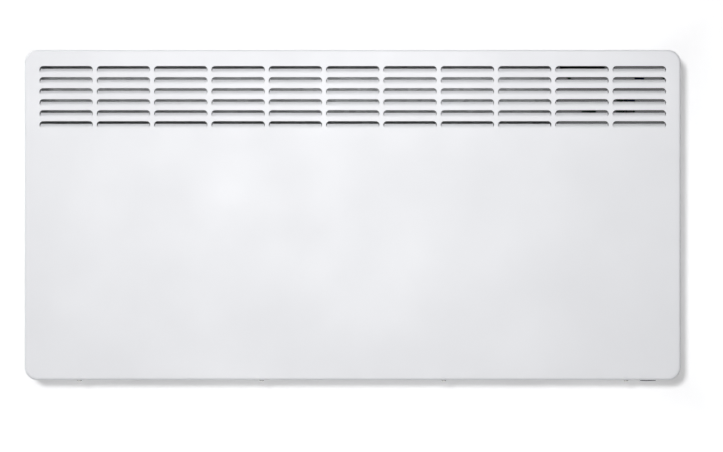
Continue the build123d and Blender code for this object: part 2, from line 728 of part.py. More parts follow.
def relay():
    x, z = power_board_limits()
    return fillet(on_board(x[0] + 34, RELAY, z[1] - 26).edges().group_by(Axis.Y)[0], 0.8)


def transformer():
    """A small encapsulated mains transformer with its pin frame."""
    x, z = power_board_limits()
    core = on_board(x[1] - 36, TRANSFORMER, z[1] - 30)
    core = chamfer(core.edges().group_by(Axis.Y)[0], 1.5)
    frame = (TRANSFORMER[0] + 4, 5, TRANSFORMER[2] + 4)
    return core + on_board(x[1] - 36, frame, z[1] - 30)


def capacitors():
    """A box film capacitor and two round ones."""
    x, z = power_board_limits()
    front = board_y()[0]
    box = fillet(on_board(x[0] + 30, FILM_CAPACITOR, z[1] - 52).edges().group_by(Axis.Y)[0], 0.8)
    cans = []
    for i in range(2):
        can = rod_y(CAN_R, x[1] - 50 + 26 * i, (front - CAN_H, front), z[1] - 59)
        cans.append(fillet(can.edges().group_by(Axis.Y)[0], 0.8))
    return [box] + cans


def board_terminal():
    x, y, z = board_terminal_limits()
    row = block(x, y, z)
    row = chamfer(row.edges().filter_by(Axis.X).group_by(Axis.Y)[0], 2)
    return row - [rod_y(2, way, (y[0], y[0] + 3), z[1] - 5) for way in terminal_ways()]


# ---- switch, sensor, cut-out and inlet ----

def switch_body():
    body = block(about(SWITCH_X, SWITCH_BODY[0]), about(SWITCH_Y, SWITCH_BODY[1]),
                 (Z_BOTTOM, Z_BOTTOM + SWITCH_H))
    bezel = block(about(SWITCH_X, SWITCH_BEZEL[0]), about(SWITCH_Y, SWITCH_BEZEL[1]), (BEZEL_Z, Z_BOTTOM))
    bezel = fillet(bezel.edges().filter_by(Axis.Z), 1.5)
    bezel = chamfer(bezel.edges().group_by(Axis.Z)[0], 0.6)
    room = (ROCKER[0] + 2 * ROCKER_GAP[0], ROCKER[1] + 2 * ROCKER_GAP[1])
    top = PIVOT_Z + ROCKER_PIVOT + ROCKER_H / 4
    well = block(about(SWITCH_X, room[0]), about(SWITCH_Y, room[1]), (BEZEL_Z, top))
    pin = rod_x(TRUNNION_R + RUN, about(SWITCH_X, room[0] + 2 * TRUNNION_L), SWITCH_Y, PIVOT_Z)
    return body + bezel - well - pin


def rocker():
    """The rocker, drawn level and then tipped to its off position."""
    half = ROCKER[1] / 2
    low = BEZEL_Z + 0.5
    profile = Polygon(
        (-half, low), (0, low - 1.5), (half, low), (half, low + 0.45 * ROCKER_H),
        (0.6 * half, low + ROCKER_H), (-0.6 * half, low + ROCKER_H), (-half, low + 0.45 * ROCKER_H))
    body = plate_x(Pos(SWITCH_Y, 0) * profile, about(SWITCH_X, ROCKER[0]))
    span = ROCKER[0] + 2 * (ROCKER_GAP[0] + TRUNNION_L) - 0.4
    body += rod_x(TRUNNION_R, about(SWITCH_X, span), SWITCH_Y, PIVOT_Z)
    pivot = Axis((SWITCH_X, SWITCH_Y, PIVOT_Z), (1, 0, 0))
    return body.rotate(pivot, -ROCKER_SWING / 2)


def switch_tab_y():
    return (SWITCH_Y - 8, SWITCH_Y + 8)


def switch_tabs():
    z = (Z_BOTTOM + SWITCH_H, Z_BOTTOM + SWITCH_H + TAB_L)
    return [block(about(SWITCH_X, TAB_T), about(y, TAB_W), z) for y in switch_tab_y()]


def inlet_gland():
    """A bush for the mains lead, snapped into the rear panel, with a flange on each face."""
    gland = rod_y(INLET_R, INLET_X, (Y_PANEL - 3, Y_BACK + 8), INLET_AXIS_Z)
    gland = fillet(gland.edges().group_by(Axis.Y)[-1], 2)
    gland += rod_y(INLET_R + 2.5, INLET_X, (Y_BACK, Y_BACK + 2), INLET_AXIS_Z)
    gland += rod_y(INLET_R + 1.5, INLET_X, (Y_PANEL - 3, Y_PANEL), INLET_AXIS_Z)
    return gland - rod_y(INLET_BORE_R, INLET_X, (Y_PANEL - 4, Y_BACK + 9), INLET_AXIS_Z)


def block_limits():
    return (about(BLOCK_X, BLOCK_SIZE[0]), (Y_PANEL - BLOCK_SIZE[1], Y_PANEL),
            (BLOCK_Z0, BLOCK_Z0 + BLOCK_SIZE[2]))


def block_ways():
    pitch = BLOCK_SIZE[0] / BLOCK_WAYS
    return [BLOCK_X + (i - (BLOCK_WAYS - 1) / 2) * pitch for i in range(BLOCK_WAYS)]


def block_screw_places():
    ways = block_ways()
    return [((ways[i] + ways[i + 1]) / 2, BLOCK_Z0 + BLOCK_SIZE[2] / 2) for i in range(BLOCK_WAYS - 1)]


def terminal_block():
    """The mains block: a tunnel and two clamp screw wells for each way."""
    x, y, z = block_limits()
    body = chamfer(block(x, y, z).edges().filter_by(Axis.X).group_by(Axis.Y)[0], 2)
    for way in block_ways():
        body -= rod_z(WIRE_R + 1, way, (y[0] + y[1]) / 2 + 1, (z[0], z[0] + 7))
        body -= [rod_y(2.4, way, (y[0], y[0] + 3), z[0] + rise) for rise in (6, BLOCK_SIZE[2] - 6)]
    body -= [rod_y(SCREW_R + RUN, sx, y, sz) for sx, sz in block_screw_places()]
    return body


def small_screws():
    """Screws of the mains block, the earth lug and the sensor clip."""
    screws = []
    for x, z in block_screw_places():
        front = Y_PANEL - BLOCK_SIZE[1]
        screws.append(rod_y(2.6, x, (front - 1.8, front), z) + rod_y(SCREW_R, x, (front, Y_BACK + 2), z))
    x, z = earth_place()
    front = Y_PANEL - SHEET
    screws.append(rod_y(HEAD_R, x, (front - 2, front), z) + rod_y(SCREW_R, x, (front, Y_BACK + 4), z))
    x, z = sensor_screw_place()
    front = Y_PANEL - 2
    screws.append(rod_y(HEAD_R, x, (front - 2, front), z) + rod_y(SCREW_R, x, (front, Y_BACK + 2), z))
    return screws


def earth_place():
    return (block_ways()[0] - 6, BLOCK_Z0 + BLOCK_SIZE[2] + 38)


def earth_lug():
    """A ring terminal under the earth screw, with a crimped barrel for the wire."""
    x, z = earth_place()
    lug = rod_y(4.5, x, (Y_PANEL - SHEET, Y_PANEL), z)
    lug += block(about(x, 5), (Y_PANEL - SHEET, Y_PANEL), (z - 10, z))
    lug += rod_z(2.4, x, Y_PANEL - 2.4, (z - 14, z - 8))
    return lug - rod_y(SCREW_R + RUN, x, (Y_PANEL - 4, Y_PANEL), z)


def sensor_screw_place():
    return (SWITCH_X + 26, Z_FLOOR + 20)


def sensor_clip():
    """A plastic arm from the rear panel that holds the room sensor in the cool intake air."""
    x, z = sensor_screw_place()
    arm = block(about(x, 10), (Y_PANEL - 2, Y_PANEL), about(z, 12))
    arm += block(about(x, 3), (SWITCH_Y - 6, Y_PANEL - 2 - HEAD_R), (z + 4, z + 6))
    arm += block(about(x, 3), (Y_PANEL - 2 - 2 * HEAD_R, Y_PANEL), (z + 4, z + 6))
    arm += rod_z(3.2, x, SWITCH_Y - 6, (z - 2, z + 8))
    arm -= rod_z(2.0 + RUN, x, SWITCH_Y - 6, (z - 2, z + 8))
    return arm - rod_y(SCREW_R + RUN, x, (Y_PANEL - 3, Y_PANEL + 1), z)


def room_sensor():
    x, z = sensor_screw_place()
    bead = rod_z(2.0, x, SWITCH_Y - 6, (z - 8, z + 10))
    return fillet(bead.edges().group_by(Axis.Z)[0], 1.6)


def cutout_place():
    """The overheat cut-out hangs above the element, beside the third rib."""
    return (RIB_X[-2] + RIB_FOOT / 2 + 12, ELEMENT_Y, RIB_TOP)


def cutout_bracket():
    x, y, z = cutout_place()
    left = RIB_X[-2] - RIB_FOOT / 2
    plate = block((left, x + 12), about(y, 24), (z, z + SHEET))
    return fillet(plate.edges().filter_by(Axis.Z), 3)


def overheat_cutout():
    """A disc thermostat under its bracket, with two tabs to the back."""
    x, y, z = cutout_place()
    disc = rod_z(8, x, y, (z - 9, z))
    disc += rod_z(6.5, x, y, (z - 12, z - 9))
    for step in (-4, 4):
        disc += block(about(x + step, 4), (y + 6, y + 16), about(z - 5, TAB_T))
    return disc


# ---- wiring, each wire one run of straights and arcs ----

def bend_radii(points):
    """The largest arc that each corner of a route takes."""
    route = [Vector(*point) for point in points]
    radii = []
    for before, corner, after in zip(route[:-2], route[1:-1], route[2:]):
        entry = corner - before
        leave = after - corner
        turn = radians(entry.get_angle(leave))
        radii.append(0.45 * min(entry.length, leave.length) / tan(turn / 2))
    return radii


def tube(name, points, radius):
    radii = bend_radii(points)
    path = FilletPolyline(*points, radius=radii)
    section = Plane(origin=path @ 0, z_dir=path % 0) * Circle(radius)
    wire = sweep(section, path=path)
    share = wire.volume / (pi * radius * radius * path.length)
    print(name, "length", round(path.length), "volume share", round(share, 4),
          "least radius", round(min(radii), 1))
    return wire


def to_board(lane, way, low, high):
    """The upper part of a wire: up its lane, across below the housing and up into the terminal row."""
    y = sum(board_terminal_limits()[1]) / 2
    end = board_terminal_limits()[2][0]
    x = terminal_ways()[way]
    return [
        (lane, y, low), (lane, y, (low + high) / 2 + 4), (lane - 1, y + 1, high - 16),
        (lane - 12, y, high), ((lane + x) / 2, y - 1, high + 1), (x + 12, y, high),
        (x, y, high + 14), (x, y, end),
    ]


def lanes():
    """Five upright lanes between the right rib and the casing's side."""
    first = RIB_X[-1] + RIB_FOOT / 2 + 18
    return [first + step for step in (0, 10, 20, 33, 41)]


def wire_neutral():
    x = block_ways()[1]
    y = (block_limits()[1][0] + block_limits()[1][1]) / 2 + 1
    z = BLOCK_Z0 + BLOCK_SIZE[2]
    start = [(x, y, z), (x, y, z + WIRE_STUB), (x + 1, y - 10, z + 32)]
    return tube("wire_neutral", start + to_board(lanes()[2], 2, z + 55, HOUSING_Z0 - 34), WIRE_R)


def wire_live():
    """From the mains block up, over and down to the front tab of the switch."""
    x = block_ways()[2]
    y = (block_limits()[1][0] + block_limits()[1][1]) / 2 + 1
    z = BLOCK_Z0 + BLOCK_SIZE[2]
    tab_y = switch_tab_y()[0]
    end = Z_BOTTOM + SWITCH_H + TAB_L
    points = [
        (x, y, z), (x, y, z + WIRE_STUB), (x, y - 14, z + 28), (x - 2, y - 34, z + 26),
        (x - 8, tab_y - 2, z + 6), (x - 14, tab_y - 5, z - 20), (SWITCH_X + 4, tab_y - 4, z - 46),
        (SWITCH_X, tab_y, end + WIRE_STUB), (SWITCH_X, tab_y, end),
    ]
    return tube("wire_live", points, WIRE_R)


def wire_switched():
    """From the rear tab of the switch up to the control unit."""
    tab_y = switch_tab_y()[1]
    start_z = Z_BOTTOM + SWITCH_H + TAB_L
    lane = lanes()[3]
    start = [
        (SWITCH_X, tab_y, start_z), (SWITCH_X, tab_y, start_z + WIRE_STUB),
        (lane - 8, tab_y - 8, start_z + 28), (lane - 1, tab_y - 9, start_z + 55),
        (lane, tab_y - 4, start_z + 90),
    ]
    high = HOUSING_Z0 - 26
    return tube("wire_switched", start + to_board(lane, 3, start_z + 125, high), WIRE_R)


def wire_sensor():
    x, z = sensor_screw_place()
    lane = lanes()[4]
    start = [
        (x, SWITCH_Y - 6, z + 10), (x, SWITCH_Y - 6, z + 10 + WIRE_STUB), (lane - 3, SWITCH_Y - 9, z + 50),
        (lane, SWITCH_Y - 6, z + 85), (lane, SWITCH_Y + 4, z + 120),
    ]
    return tube("wire_sensor", start + to_board(lane, 4, z + 150, HOUSING_Z0 - 18), SENSOR_WIRE_R)


def wire_element():
    """From the element's right-hand terminal up to the control unit."""
    x = WEB_OUTER_X + TUBE_OUT + 5 + TAB_L
    lane = lanes()[1]
    z = ELEMENT_AXIS_Z
    start = [
        (x, ELEMENT_Y, z), (x + TAB_STUB, ELEMENT_Y, z), (lane + 3, ELEMENT_Y, z + 14),
        (lane + 2, ELEMENT_Y + 1, z + 34), (lane, ELEMENT_Y + 2, z + 60),
    ]
    return tube("wire_element", start + to_board(lane, 1, z + 95, HOUSING_Z0 - 42), WIRE_R)


def wire_cutout():
    """From the cut-out's right-hand tab through the last rib and up to the control unit."""
    x, y, z = cutout_place()
    lane = lanes()[0]
    tab = (x + 4, y + 16, z - 5)
    start = [
        tab, (x + 4, tab[1] + TAB_STUB, z - 5), (x + 14, WIRE_HOLE_Y, WIRE_HOLE_Z),
        (x + 40, WIRE_HOLE_Y - 1, WIRE_HOLE_Z - 1), (x + 90, WIRE_HOLE_Y, WIRE_HOLE_Z),
        (x + 145, WIRE_HOLE_Y - 1, WIRE_HOLE_Z + 1), (WEB_OUTER_X - 12, WIRE_HOLE_Y, WIRE_HOLE_Z),
        (WEB_OUTER_X + 18, WIRE_HOLE_Y, WIRE_HOLE_Z + 1), (lane - 3, WIRE_HOLE_Y - 6, WIRE_HOLE_Z + 16),
        (lane, WIRE_HOLE_Y - 14, WIRE_HOLE_Z + 38),
    ]
    return tube("wire_cutout", start + to_board(lane, 0, WIRE_HOLE_Z + 70, HOUSING_Z0 - 50), WIRE_R)


def wire_left():
    """From the element's left-hand terminal, behind the element and on to the cut-out."""
    x = -(WEB_OUTER_X + TUBE_OUT + 5 + TAB_L)
    cx, cy, cz = cutout_place()
    y = WIRE_HOLE_Y
    z = WIRE_HOLE_Z
    points = [
        (x, ELEMENT_Y, ELEMENT_AXIS_Z), (x - TAB_STUB, ELEMENT_Y, ELEMENT_AXIS_Z),
        (x - 13, ELEMENT_Y + 5, ELEMENT_AXIS_Z + 14), (x - 4, y - 2, z - 8),
        (-WEB_OUTER_X - 12, y, z), (-WEB_OUTER_X + 14, y, z - 1),
    ]
    runs = 9
    first = -WEB_OUTER_X + 14
    last = RIB_X[-2] - RIB_FOOT / 2 - 12
    for i in range(1, runs):
        sway = 1 if i % 2 else -1
        points.append((first + (last - first) * i / runs, y - 0.5 * sway, z + 0.7 * sway))
    points += [
        (last, y, z), (cx - 14, y, z), (cx - 4, cy + 16 + TAB_STUB, cz - 5), (cx - 4, cy + 16, cz - 5),
    ]
    return tube("wire_left", points, WIRE_R)


def wire_earth():
    x = block_ways()[0]
    y = (block_limits()[1][0] + block_limits()[1][1]) / 2 + 1
    z = BLOCK_Z0 + BLOCK_SIZE[2]
    lug_x, lug_z = earth_place()
    points = [
        (x, y, z), (x, y, z + 8), (lug_x, Y_PANEL - 2.4, lug_z - 22), (lug_x, Y_PANEL - 2.4, lug_z - 14),
    ]
    return tube("wire_earth", points, WIRE_R)


# ---- wall bracket ----

def bracket_leg(side):
    """A folded leg flat on the wall, with two hooks on its outer flange and a lock tab at its foot."""
    inner_x = side * (LEG_X - LEG_W / 2)
    outer_x = side * (LEG_X + LEG_W / 2)
    flange_x = sorted((outer_x - side * BRACKET_T, outer_x))
    leg = block(sorted((inner_x, outer_x)), (-BRACKET_T, 0), (LEG_BOTTOM, LEG_TOP))
    leg += block(flange_x, (LEG_FRONT, 0), (LEG_BOTTOM, LEG_TOP))
    tab_x = sorted((inner_x, outer_x))
    leg += block(tab_x, (-LOCK_TAB, 0), (LEG_BOTTOM, LEG_BOTTOM + BRACKET_T))
    reach = LEG_FRONT - HOOK_THROAT
    for z in hook_heights():
        leg += block(flange_x, (reach - HOOK_T, LEG_FRONT), (z - HOOK_H, z))
        leg += block(flange_x, (reach - HOOK_T, reach), (z - HOOK_H, z + HOOK_LIP))
    leg -= [
        rod_y(FIX_R, side * LEG_X, (-2 * BRACKET_T, BRACKET_T), z) for z in (FIX_Z, -FIX_Z)
    ]
    leg -= [
        rod_y(RIVET_R + RUN, x, (-2 * BRACKET_T, BRACKET_T), z)
        for x, z in bracket_rivet_places() if x * side > 0
    ]
    return leg


def bracket_rivet_places():
    return [
        (side * (LEG_X + step), z)
        for side in (-1, 1) for step in (-9, 9) for z in (RAIL_Z, -RAIL_Z)
    ]


def bracket_rail(z):
    """A flat rail across both legs, in front of them."""
    reach = LEG_X + LEG_W / 2 - BRACKET_T - FIT
    rail = block((-reach, reach), (-2 * BRACKET_T, -BRACKET_T), about(z, RAIL_W))
    return rail - [
        rod_y(RIVET_R + RUN, x, (-3 * BRACKET_T, 0), place)
        for x, place in bracket_rivet_places() if place == z
    ]


def bracket_rivets():
    rivets = []
    for x, z in bracket_rivet_places():
        front = -2 * BRACKET_T
        head = rod_y(RIVET_HEAD_R, x, (front - RIVET_HEAD_H, front), z)
        rivets.append(head + rod_y(RIVET_R, x, (front, 0), z))
    return rivets


def turn_lock(side):
    """A quarter-turn catch under the rear panel's ear; its arm points inwards, unlocked."""
    top = LEG_BOTTOM - LOCK_GAP
    low = top - LOCK_T
    x = side * LOCK_X
    tip = LOCK_REACH - LOCK_ARM_W / 2
    arm = block(sorted((x, x - side * tip)), about(-LOCK_Y, LOCK_ARM_W), (low, top))
    arm += rod_z(LOCK_ARM_W / 2, x - side * tip, -LOCK_Y, (low, top))
    catch = arm + rod_z(LOCK_HUB_R, x, -LOCK_Y, (low - 5, top))
    catch += rod_z(RIVET_R, x, -LOCK_Y, (top, LEG_BOTTOM + 4 * SHEET))
    return catch - block(about(x, 12), about(-LOCK_Y, 1.6), (low - 5, low - 2.5))


def lock_retainer(side):
    """A push-on ring that keeps the catch in its ear."""
    z = (LEG_BOTTOM + SHEET + LOCK_GAP, LEG_BOTTOM + 2 * SHEET + LOCK_GAP)
    x = side * LOCK_X
    return rod_z(LOCK_HUB_R - 0.5, x, -LOCK_Y, z) - rod_z(RIVET_R, x, -LOCK_Y, z)


def all_nodes():
    nodes = {
        "front_cover": front_cover(),
        "rear_panel": rear_panel(),
        "chassis_rivets": chassis_rivets(),
        "heating_element": heating_element(),
        "element_tube": element_tube(),
        "element_bushings": element_bushings(),
        "element_terminals": element_terminals(),
        "air_deflector": air_deflector(),
        "partition": partition(),
        "wall_spacers": wall_spacers(),
        "cover_screws": cover_screws(),
        "lip_screws": lip_screws(),
        "control_housing": control_housing(),
        "control_screws": housing_screws() + board_screws(),
        "control_fascia": control_fascia(),
        "display_window": display_window(),
        "display_module": display_module(),
        "display_board": display_board(),
        "keypad_mat": keypad_mat(),
        "power_board": power_board(),
        "relay": relay(),
        "transformer": transformer(),
        "capacitors": capacitors(),
        "board_terminal": board_terminal(),
        "switch_body": switch_body(),
        "rocker": rocker(),
        "switch_tabs": switch_tabs(),
        "inlet_gland": inlet_gland(),
        "terminal_block": terminal_block(),
        "small_screws": small_screws(),
        "earth_lug": earth_lug(),
        "sensor_clip": sensor_clip(),
        "room_sensor": room_sensor(),
        "cutout_bracket": cutout_bracket(),
        "overheat_cutout": overheat_cutout(),
        "wire_neutral": wire_neutral(),
        "wire_live": wire_live(),
        "wire_switched": wire_switched(),
        "wire_sensor": wire_sensor(),
        "wire_element": wire_element(),
        "wire_cutout": wire_cutout(),
        "wire_left": wire_left(),
        "wire_earth": wire_earth(),
        "bracket_rail_upper": bracket_rail(RAIL_Z),
        "bracket_rail_lower": bracket_rail(-RAIL_Z),
        "bracket_rivets": bracket_rivets(),
    }
    for number, x in enumerate(RIB_X, start=1):
        nodes[f"support_rib_{number}"] = support_rib(x)
    for name, (y, z) in button_places().items():
        nodes[name] = push_button(y, z)
    for name, side in (("left", -1), ("right", 1)):
        nodes[f"bracket_leg_{name}"] = bracket_leg(side)
        nodes[f"turn_lock_{name}"] = turn_lock(side)
        nodes[f"lock_retainer_{name}"] = lock_retainer(side)
    return nodes


os.makedirs("parts", exist_ok=True)
for node, shape in all_nodes().items():
    if isinstance(shape, list):
        shape = Compound(children=[solid for piece in shape for solid in piece.solids()])
    export_step(shape, f"parts/{node}.step")
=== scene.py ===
import json
import math

import bmesh
import bpy
from mathutils import Matrix, Vector


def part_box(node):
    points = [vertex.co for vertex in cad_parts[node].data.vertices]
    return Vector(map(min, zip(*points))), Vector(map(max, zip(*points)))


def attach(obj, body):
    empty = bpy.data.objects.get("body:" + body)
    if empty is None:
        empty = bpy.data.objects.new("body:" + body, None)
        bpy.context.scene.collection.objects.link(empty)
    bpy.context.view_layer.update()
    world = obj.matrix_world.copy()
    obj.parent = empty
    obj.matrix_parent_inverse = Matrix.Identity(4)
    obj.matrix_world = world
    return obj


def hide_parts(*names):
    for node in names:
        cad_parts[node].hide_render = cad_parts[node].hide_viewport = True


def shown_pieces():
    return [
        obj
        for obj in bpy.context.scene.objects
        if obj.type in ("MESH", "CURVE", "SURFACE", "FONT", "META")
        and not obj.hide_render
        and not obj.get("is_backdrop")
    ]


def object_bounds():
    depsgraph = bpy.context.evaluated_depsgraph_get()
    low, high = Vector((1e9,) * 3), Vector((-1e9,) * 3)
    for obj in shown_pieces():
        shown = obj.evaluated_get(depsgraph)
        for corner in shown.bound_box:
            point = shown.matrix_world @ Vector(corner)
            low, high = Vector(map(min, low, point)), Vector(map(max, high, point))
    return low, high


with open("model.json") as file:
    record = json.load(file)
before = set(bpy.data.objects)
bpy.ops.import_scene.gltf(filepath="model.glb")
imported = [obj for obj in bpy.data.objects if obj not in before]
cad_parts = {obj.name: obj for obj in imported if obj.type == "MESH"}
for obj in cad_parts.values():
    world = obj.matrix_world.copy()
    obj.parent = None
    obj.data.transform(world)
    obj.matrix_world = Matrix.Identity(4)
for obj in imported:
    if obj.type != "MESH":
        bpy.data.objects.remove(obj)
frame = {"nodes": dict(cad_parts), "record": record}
cadLow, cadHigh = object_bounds()
nodes = frame["nodes"]
mm = 0.001
hair = 1e-6                     # metres, for tests of whether two places are the same
print("frame loaded:", len(nodes), "nodes")


# camera, lights, wall and floor, in metres and watts

cameraSetup = {
    "lens": 135.0,
    "frameWidth": 0.9838,       # seen across the front of the panel
    "aimX": 0.0119,
    "aimZ": -0.0150,
}

# size is the light's width; a light marked alone leaves the wall and floor as they are
lights = {
    "key": dict(watts=128.0, place=(-0.52, -5.0, 0.50), size=0.45),
    "upper": dict(watts=1.95, place=(-0.08, -0.86, 0.24), size=0.6, target=(-0.08, 0.0, 0.24), alone=True),
    "right": dict(watts=0.6, place=(0.16, -0.86, 0.24), size=0.6, target=(0.16, 0.0, 0.24), alone=True),
    "rim": dict(watts=30.0, place=(-2.6, -0.4, 1.6), size=0.5, alone=True),
    "back": dict(watts=34.0, place=(2.3, 2.1, 1.7), size=0.9, alone=True),
    "under": dict(watts=5.0, place=(-0.3, -0.3, -2.4), size=1.2, alone=True),
}

worldSetup = {
    "strength": 0.01,
}

stageSetup = {
    "size": 7.0,
    "wallGap": 0.0005,          # wall behind the bracket's back
    "floorDrop": 0.15,          # floor below the heater
    # the stage's own light is lowest next to the heater and fades up to plain white further out: a painted
    # shade round the heater, on the wall and on the floor
    "wallGlow": 0.37,           # own light next to the heater, so that with the lamps the backdrop is white; lower here than further out, which paints shade round the heater
    "floorGlow": 0.86,
    "fadeFrom": 0.012,          # outside the heater's outline, where the painted shade round the heater starts to fade to plain white
    "fadeTo": 0.35,
    "roughness": 0.95,
    "wallColour": (0.96, 0.96, 0.97, 1.0),
    "floorColour": (0.50, 0.50, 0.50, 1.0),
}


def addCamera(setup):
    data = bpy.data.cameras.new("camera")
    data.lens = setup["lens"]
    data.clip_end = 50.0
    camera = bpy.data.objects.new("camera", data)
    bpy.context.scene.collection.objects.link(camera)
    reach = setup["frameWidth"] * setup["lens"] / data.sensor_width
    camera.location = (setup["aimX"], cadLow.y - reach, setup["aimZ"])
    camera.rotation_euler = (math.radians(90.0), 0.0, 0.0)
    bpy.context.scene.camera = camera


def addSoftLight(name, watts, place, size, target=(0.0, -0.05, 0.0), alone=False):
    data = bpy.data.lights.new(name, "AREA")
    data.shape = "DISK"
    data.size = size
    data.energy = watts
    light = bpy.data.objects.new(name, data)
    bpy.context.scene.collection.objects.link(light)
    light.location = place
    light.rotation_euler = (Vector(target) - Vector(place)).to_track_quat("-Z", "Y").to_euler()
    if alone:
        light.light_linking.receiver_collection = heaterOnly


def addNode(tree, kind, **sockets):
    node = tree.nodes.new(kind)
    for key, value in sockets.items():
        node.inputs[key.replace("_", " ")].default_value = value
    return node


def linkNode(tree, kind, links, **values):
    node = addNode(tree, kind, **values)
    for key, source in links.items():
        tree.links.new(source, node.inputs[key])
    return node


def addMath(tree, operation, first, second, clamp=False):
    node = tree.nodes.new("ShaderNodeMath")
    node.operation = operation
    node.use_clamp = clamp
    for socket, value in zip(node.inputs, (first, second)):
        if isinstance(value, (int, float)):
            socket.default_value = value
        else:
            tree.links.new(value, socket)
    return node.outputs[0]


def openMaterial(name):
    material = bpy.data.materials.new(name)
    material.use_nodes = True
    tree = material.node_tree
    return material, tree, tree.nodes["Principled BSDF"]


# 1 for what the camera, a gloss or a glass sees, 0 for light that falls on the object
def lookMask(tree):
    path = tree.nodes.new("ShaderNodeLightPath")
    seen = addMath(tree, "ADD", path.outputs["Is Camera Ray"], path.outputs["Is Glossy Ray"])
    return addMath(tree, "ADD", seen, path.outputs["Is Transmission Ray"], clamp=True)


# how far a point of the wall or the floor lies outside the heater's outline
def distanceOutside(tree):
    absolute = tree.nodes.new("ShaderNodeVectorMath")
    absolute.operation = "ABSOLUTE"
    tree.links.new(tree.nodes.new("ShaderNodeTexCoord").outputs["Object"], absolute.inputs[0])
    split = linkNode(tree, "ShaderNodeSeparateXYZ", {"Vector": absolute.outputs["Vector"]})
    beside = addMath(tree, "SUBTRACT", split.outputs["X"], cadHigh.x)
    above = addMath(tree, "SUBTRACT", split.outputs["Z"], cadHigh.z)
    return addMath(tree, "MAXIMUM", beside, above)


# clear from behind and to shadows, so that the heater is seen and lit from the back too
def clearBehind(tree, shader):
    path = tree.nodes.new("ShaderNodeLightPath")
    side = tree.nodes.new("ShaderNodeNewGeometry")
    hidden = addMath(tree, "ADD", side.outputs["Backfacing"], path.outputs["Is Shadow Ray"], clamp=True)
    clear = tree.nodes.new("ShaderNodeBsdfTransparent")
    mix = tree.nodes.new("ShaderNodeMixShader")
    for socket, source in zip(mix.inputs, (hidden, shader.outputs[0], clear.outputs[0])):
        tree.links.new(source, socket)
    tree.links.new(mix.outputs[0], tree.nodes["Material Output"].inputs["Surface"])


def stageMaterial(name):
    material, tree, shader = openMaterial(name)
    shader.inputs["Base Color"].default_value = stageSetup[f"{name}Colour"]
    shader.inputs["Roughness"].default_value = stageSetup["roughness"]
    shader.inputs["Specular IOR Level"].default_value = 0.0
    shader.inputs["Emission Color"].default_value = (1.0, 1.0, 1.0, 1.0)
    # own light lowest next to the heater and plain white further out: painted shade round the heater that
    # deepens its cast shadow
    glowWithPaintedShade = linkNode(tree, "ShaderNodeMapRange", {"Value": distanceOutside(tree)},
                    From_Min=stageSetup["fadeFrom"], From_Max=stageSetup["fadeTo"],
                    To_Min=stageSetup[f"{name}Glow"])
    strength = addMath(tree, "MULTIPLY", lookMask(tree), glowWithPaintedShade.outputs["Result"])
    tree.links.new(strength, shader.inputs["Emission Strength"])
    clearBehind(tree, shader)
    return material


def finishMesh(bm, name, smooth=False, outward=True):
    if outward:
        bmesh.ops.recalc_face_normals(bm, faces=bm.faces)
    for face in bm.faces:
        face.smooth = smooth
    mesh = bpy.data.meshes.new(name)
    bm.to_mesh(mesh)
    bm.free()
    piece = bpy.data.objects.new(name, mesh)
    bpy.context.scene.collection.objects.link(piece)
    return piece


def addStagePlane(name, turn, place):
    bm = bmesh.new()
    bmesh.ops.create_grid(bm, x_segments=1, y_segments=1, size=stageSetup["size"] / 2)
    bmesh.ops.rotate(bm, verts=bm.verts, cent=(0, 0, 0), matrix=Matrix.Rotation(turn, 3, "X"))
    bmesh.ops.translate(bm, verts=bm.verts, vec=place)
    plane = finishMesh(bm, name, outward=False)
    plane.data.materials.append(stageMaterial(name))
    plane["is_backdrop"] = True


def addWorld(strength):
    world = bpy.data.worlds.new("softRoom")
    bpy.context.scene.world = world
    world.use_nodes = True
    tree = world.node_tree
    shader = tree.nodes["Background"]
    shader.inputs["Color"].default_value = (1.0, 1.0, 1.0, 1.0)
    level = addMath(tree, "MULTIPLY_ADD", lookMask(tree), 1.0 - strength)
    level.node.inputs[2].default_value = strength
    tree.links.new(level, shader.inputs["Strength"])


bpy.context.scene.view_settings.view_transform = "Standard"
addCamera(cameraSetup)
heaterOnly = bpy.data.collections.new("heaterOnly")
bpy.context.scene.collection.children.link(heaterOnly)
for name, setup in lights.items():
    addSoftLight(f"{name}Light", **setup)
addWorld(worldSetup["strength"])
addStagePlane("wall", math.radians(90.0), (0.0, stageSetup["wallGap"], 0.0))
addStagePlane("floor", 0.0, (0.0, 0.0, cadLow.z - stageSetup["floorDrop"]))
print("camera, lights and stage placed")


# shared surface effects

grainSetup = {
    "blotchScale": 8.0,
    "blotchDetail": 3.0,
    "grainDetail": 2.0,
    "roughness": 0.55,
    "from": 0.3,                # the part of the noise that is spread from 0 to 1
    "to": 0.7,
}

spangleSetup = {
    "warpScale": 90.0,
    "warpDetail": 2.0,
    "warp": 0.006,              # metres that a crystal's edge is bent by
}

dustSetup = {
    "colour": (0.46, 0.44, 0.41, 1.0),
    "leanFrom": 0.35,           # upward part of the normal where dust begins to lie
    "patchScale": 60.0,
    "patchDetail": 4.0,
}

# the sockets of a Mix node that it uses for colours
mixSockets = {
    "factor": 0,
    "first": 6,
    "second": 7,
    "result": 2,
}


def newGroup(name, inputs, outputs):
    group = bpy.data.node_groups.new(name, "ShaderNodeTree")
    for label, kind, value in inputs:
        socket = group.interface.new_socket(label, in_out="INPUT", socket_type=kind)
        if value is not None:
            socket.default_value = value
    for label, kind in outputs:
        group.interface.new_socket(label, in_out="OUTPUT", socket_type=kind)
    entry = group.nodes.new("NodeGroupInput")
    leave = group.nodes.new("NodeGroupOutput")
    return group, entry.outputs, leave.inputs


def mixColours(tree, factor, first, second):
    mix = tree.nodes.new("ShaderNodeMix")
    mix.data_type = "RGBA"
    for name, value in (("factor", factor), ("first", first), ("second", second)):
        socket = mix.inputs[mixSockets[name]]
        if isinstance(value, bpy.types.NodeSocket):
            tree.links.new(value, socket)
        else:
            socket.default_value = value
    return mix.outputs[mixSockets["result"]]


